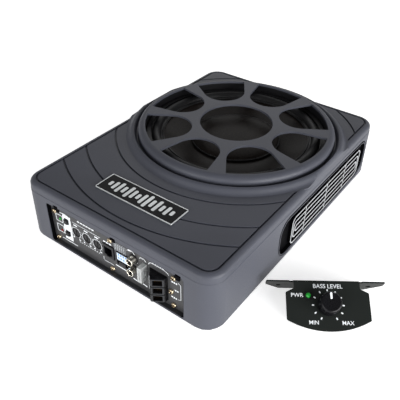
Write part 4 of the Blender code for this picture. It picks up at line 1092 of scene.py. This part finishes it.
def make_badge():
    low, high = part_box("badge_plate")
    centre, size = (low + high) / 2, high - low
    half_x, half_y = size.x / 2, size.y / 2
    edge = 0.8 * MM
    field = rounded(-half_x + edge, half_x - edge, -half_y + edge, half_y - edge, 0.7 * MM, 4)
    rim = combined(prism(rounded(-half_x, half_x, -half_y, half_y, 1.4 * MM, 4), 0, size.z),
                   ("DIFFERENCE", prism(field, 0.6 * MM, 5 * MM)))
    at = (centre.x, centre.y, low.z)
    piece("badge_rim", moved(rim, at), SILVER, stands_for=("badge_plate",), bevel=0.15 * MM)
    piece("badge_field", moved(prism(field, 0.55 * MM, 0.8 * MM), at), BADGE_BLACK)
    bars = []
    heights = (7, 12, 16, 10, 18, 13, 8, 15, 19, 11, 17, 9, 13, 7)
    for index, height in enumerate(heights):
        x = (index - (len(heights) - 1) / 2) * 6.1 * MM
        outline = rounded(x - 1.8 * MM, x + 1.8 * MM, -height / 2 * MM, height / 2 * MM, 1.4 * MM, 4)
        bars.append(prism(outline, 0.75 * MM, 1.05 * MM))
    piece("badge_bars", moved(merged(*bars), at), SILVER, bevel=0.1 * MM)


# ---------------------------------------------------------------- level control


def remote_matrix():
    """X along the plate, Y up it and Z out of its face, at the middle of its lower edge."""
    along = Vector((math.cos(REMOTE_TURN), math.sin(REMOTE_TURN), 0))
    level_back = Vector((0, 0, 1)).cross(along)
    up_plate = level_back * math.cos(REMOTE_LEAN) + Vector((0, 0, 1)) * math.sin(REMOTE_LEAN)
    turn = Matrix((along, up_plate, along.cross(up_plate))).transposed()
    return Matrix.Translation(REMOTE_FOOT) @ turn.to_4x4()


def bracket_outline():
    """The bracket's flat blank: the plate, and beyond the bend line the flange with its two ears."""
    half = 39 * MM
    sagitta = 10.2 * MM
    radius = (half**2 + sagitta**2) / (2 * sagitta)
    spread = math.degrees(math.asin(half / radius))
    lower = arc((0, radius), radius, 270 - spread, 270 + spread, 24)
    neck = half - 8 * MM
    ear = 56.25 * MM
    top = REMOTE_HEIGHT
    relief = neck + 3.5 * MM
    right = [(half, 36 * MM), (neck, 40 * MM), (neck, top + 3 * MM), (relief, top + 3 * MM), (relief, top + 1.4 * MM)]
    right += [(ear, top + 1.4 * MM), (ear, top + 11 * MM), (ear - 14.2 * MM, top + 25.2 * MM)]
    return lower + right + [(-x, y) for x, y in reversed(right)]


def make_bracket():
    outer_bend = 2.4 * MM
    bend_start = REMOTE_HEIGHT - outer_bend
    bend_length = outer_bend * math.pi / 2
    bm = prism(softened(bracket_outline(), 0.9 * MM, 3), -REMOTE_SHEET, 0)
    flat_holes = [(0, REMOTE_KNOB_Y, 3.6 * MM), (-18.2 * MM, 33 * MM, 2.8 * MM)]
    flat_holes += [(side * 43.5 * MM, bend_start + bend_length + 14.5 * MM - outer_bend, 2.4 * MM) for side in (-1, 1)]
    cuts = []
    for x, y, radius in flat_holes:
        hole = turned([(0, -4 * MM), (radius, -4 * MM), (radius, 4 * MM), (0, 4 * MM)], 28)
        cuts.append(("DIFFERENCE", moved(hole, (x, y, 0))))
    bm = combined(bm, *cuts)
    for i in range(9):
        y = bend_start + bend_length * i / 8
        geometry = bm.verts[:] + bm.edges[:] + bm.faces[:]
        bmesh.ops.bisect_plane(bm, geom=geometry, plane_co=(0, y, 0), plane_no=(0, 1, 0))
    for vertex in bm.verts:
        beyond = vertex.co.y - bend_start
        if beyond <= 0:
            continue
        angle = min(beyond / bend_length, 1) * math.pi / 2
        reach = outer_bend + vertex.co.z
        past = max(beyond - bend_length, 0)
        vertex.co.y = bend_start + reach * math.sin(angle)
        vertex.co.z = -outer_bend + reach * math.cos(angle) - past
    bm.transform(remote_matrix())
    piece("level_bracket", bm, BRACKET, "remote", ("remote_bracket",), angle=30)


def make_remote():
    make_bracket()
    matrix = remote_matrix()
    knob_at = matrix @ Matrix.Translation((0, REMOTE_KNOB_Y, 0))

    def on_plate(bm, at=(0, 0, 0)):
        bm.transform(matrix @ Matrix.Translation(at))
        return bm

    radius = 10.4 * MM
    profile = [(0, -6 * MM), (1.6 * MM, -6 * MM), (1.6 * MM, 1.5 * MM), (radius, 1.5 * MM), (radius, 3 * MM)]
    profile += [(radius - 0.5 * MM, 12.4 * MM), (radius - 0.9 * MM, 13.4 * MM), (radius - 1.7 * MM, 14 * MM)]
    profile += [(radius - 2.6 * MM, 14.2 * MM), (radius - 3.4 * MM, 13.9 * MM), (0, 13.7 * MM)]
    ribs = []
    for index in range(36):
        angle = 2 * math.pi * index / 36
        at = ((radius + 0.15 * MM) * math.cos(angle), (radius + 0.15 * MM) * math.sin(angle), 0)
        flute = turned([(0, 3 * MM), (0.55 * MM, 3 * MM), (0.55 * MM, 12 * MM), (0, 12.6 * MM)], 8)
        ribs.append(("DIFFERENCE", moved(flute, at)))
    shape = combined(turned(profile, 72), *ribs)
    shape.transform(knob_at)
    piece("level_dial", shape, GLOSS_BLACK, "remote_dial", ("remote_knob",), angle=35)
    pointer = prism(rounded(-0.95 * MM, 0.95 * MM, 2.8 * MM, 8.8 * MM, 0.5 * MM, 3), 13.6 * MM, 14.35 * MM)
    pointer.transform(knob_at)
    piece("level_dial_pointer", pointer, PRINT, "remote_dial")

    marks = []
    for step in range(11):
        angle = math.radians(240 - 30 * step)
        distance = 14.2 * MM
        mark = prism(rounded(-1.1 * MM, 1.1 * MM, -0.6 * MM, 0.6 * MM, 0.5 * MM, 3), 0.02 * MM, 0.08 * MM)
        at = (distance * math.cos(angle), REMOTE_KNOB_Y + distance * math.sin(angle), 0)
        marks.append(moved(mark, at, Matrix.Rotation(angle, 4, "Z")))
    piece("dial_marks", on_plate(merged(*marks)), PRINT, "remote")
    for name, words, x, y, size in (
        ("label_level", "BASS LEVEL", 0.6 * MM, 40.2 * MM, 5.6 * MM),
        ("label_power", "PWR", -28.6 * MM, 31.4 * MM, 5.4 * MM),
        ("label_min", "MIN", -14.3 * MM, 6.2 * MM, 5.2 * MM),
        ("label_max", "MAX", 17 * MM, 6.2 * MM, 5.2 * MM),
    ):
        make_label(name, words, matrix @ Matrix.Translation((x, y, 0.02 * MM)), size)
    bezel = turned(softened([(2.6 * MM, 0.02 * MM), (3.5 * MM, 0.02 * MM), (3.3 * MM, 0.8 * MM), (2.6 * MM, 0.9 * MM)],
                            0.2 * MM), 32)
    piece("lamp_bezel", on_plate(bezel, (-18.2 * MM, 33 * MM, 0)), BLACK, "remote", angle=50)
    lens = [(0, -4.5 * MM), (2.45 * MM, -4.5 * MM), (2.45 * MM, 0.9 * MM)]
    lens += [(2.45 * MM * math.cos(a), 0.9 * MM + 1.9 * MM * math.sin(a)) for a in
             (math.pi / 2 * i / 8 for i in range(1, 8))] + [(0, 2.8 * MM)]
    piece("level_lamp", on_plate(turned(lens, 32), (-18.2 * MM, 33 * MM, 0)), GREEN_LENS, "remote",
          ("remote_led",), angle=50)


def make_label(name, words, matrix, size):
    """Generic lettering as a thin mesh."""
    curve = bpy.data.curves.new(name, "FONT")
    curve.body = words
    curve.size = size
    curve.align_x = "CENTER"
    curve.extrude = 0.03 * MM
    curve.offset = 0.02 * MM
    text = bpy.data.objects.new(name, curve)
    bpy.context.scene.collection.objects.link(text)
    bpy.context.view_layer.update()
    bm = bmesh.new()
    mesh = bpy.data.meshes.new_from_object(text.evaluated_get(bpy.context.evaluated_depsgraph_get()))
    bm.from_mesh(mesh)
    bpy.data.objects.remove(text, do_unlink=True)
    bpy.data.meshes.remove(mesh)
    bmesh.ops.remove_doubles(bm, verts=bm.verts, dist=1e-6)
    bm.transform(matrix)
    piece(name, bm, PRINT, "remote")


# ---------------------------------------------------------------- CAD nodes that stay


def dress(finish_made, *nodes):
    for node in nodes:
        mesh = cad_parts[node].data
        mesh.materials.clear()
        mesh.materials.append(finish_made)


def dress_frame():
    dress(CASTING, "base_plate", "woofer_basket")
    dress(PANEL_PAINT, "control_panel")
    dress(BLACK, "woofer_terminals", "fuse_holder", "level_pot_body", "bass_pot_body", "crossover_pot_body",
          "remote_pot")
    dress(GLOSS_BLACK, "rca_block")
    dress(ZINC, "magnet_yoke", "magnet_front_plate")
    dress(FERRITE, "magnet")
    dress(WINDING, "coil_winding", "toroid_choke")
    dress(ALUMINIUM, "coil_former", "heat_sink")
    dress(BOARD, "amplifier_board", "control_board", "remote_board")
    dress(SLEEVE, "smoothing_capacitor")
    dress(RED_LEAD, "speaker_lead_plus")
    dress(BLACK_LEAD, "speaker_lead_minus")


# ---------------------------------------------------------------- stage


def make_stage():
    bm = bmesh.new()
    bmesh.ops.create_grid(bm, x_segments=2, y_segments=2, size=6)
    mesh = bpy.data.meshes.new("floor")
    bm.to_mesh(mesh)
    bm.free()
    floor = bpy.data.objects.new("floor", mesh)
    floor.location.z = -0.2 * MM
    bpy.context.scene.collection.objects.link(floor)
    made, nodes, links, shader = new_material("floor_paper", (0.93, 0.93, 0.94), 0.9)
    shader.inputs["Emission Color"].default_value = (1, 1, 1, 1)
    shader.inputs["Emission Strength"].default_value = 0.6
    soft = noise(nodes, links, 3, 2.0)
    links.new(ramp(nodes, links, soft.outputs["Fac"], 0.92, 0.94), shader.inputs["Base Color"])
    mesh.materials.append(made)


def make_light(name, at, target, size, energy):
    light = bpy.data.lights.new(name, "AREA")
    light.shape = "RECTANGLE"
    light.size, light.size_y = size
    light.energy = energy
    obj = bpy.data.objects.new(name, light)
    obj.location = at
    obj.rotation_mode = "QUATERNION"
    obj.rotation_quaternion = (Vector(target) - Vector(at)).to_track_quat("-Z", "Y")
    bpy.context.scene.collection.objects.link(obj)


def make_world():
    """Pale surroundings, a little dimmer overhead than at the horizon."""
    world = bpy.data.worlds.new("surroundings")
    bpy.context.scene.world = world
    world.use_nodes = True
    nodes, links = world.node_tree.nodes, world.node_tree.links
    background = nodes["Background"]
    coordinates = nodes.new("ShaderNodeTexCoord")
    parts = nodes.new("ShaderNodeSeparateXYZ")
    links.new(coordinates.outputs["Generated"], parts.inputs["Vector"])
    sky = ramp(nodes, links, parts.outputs["Z"], 0.55, 0.36, 0.0, 0.9)
    links.new(sky, background.inputs["Color"])
    background.inputs["Strength"].default_value = 0.8


def make_camera():
    azimuth, elevation, roll = math.radians(35.921), math.radians(38.03), math.radians(1.114)
    back = Vector((math.sin(azimuth) * math.cos(elevation), -math.cos(azimuth) * math.cos(elevation),
                   math.sin(elevation)))
    right = Vector((math.cos(azimuth), math.sin(azimuth), 0))
    up = back.cross(right)
    across = right * math.cos(roll) + up * math.sin(roll)
    upward = up * math.cos(roll) - right * math.sin(roll)
    data = bpy.data.cameras.new("camera")
    data.lens = 48.05
    data.sensor_width = 36
    data.clip_start = 0.01
    camera = bpy.data.objects.new("camera", data)
    camera.matrix_world = Matrix.Translation((0.28746, -0.42237, 0.39263)) @ (
        Matrix((across, upward, back)).transposed().to_4x4())
    bpy.context.scene.collection.objects.link(camera)
    bpy.context.scene.camera = camera


bpy.context.scene.view_settings.view_transform = "Standard"
make_camera()
make_world()
make_stage()
make_light("right_softbox", (1.3, -0.25, 0.3), (0.05, 0, 0.03), (1.2, 0.5), 25)
make_light("front_softbox", (-0.2, -1.4, 0.36), (0, 0, 0.03), (1.3, 0.5), 12)
make_light("rear_softbox", (-0.8, 1.3, 0.9), (0, 0, 0.05), (1.2, 0.8), 4)
make_housing()
make_grille()
make_woofer()
make_suspension()
make_screws()
make_panel_print()
make_controls()
make_sockets()
make_phono()
make_fuse()
make_terminal()
make_vents()
make_badge()
make_remote()
dress_frame()
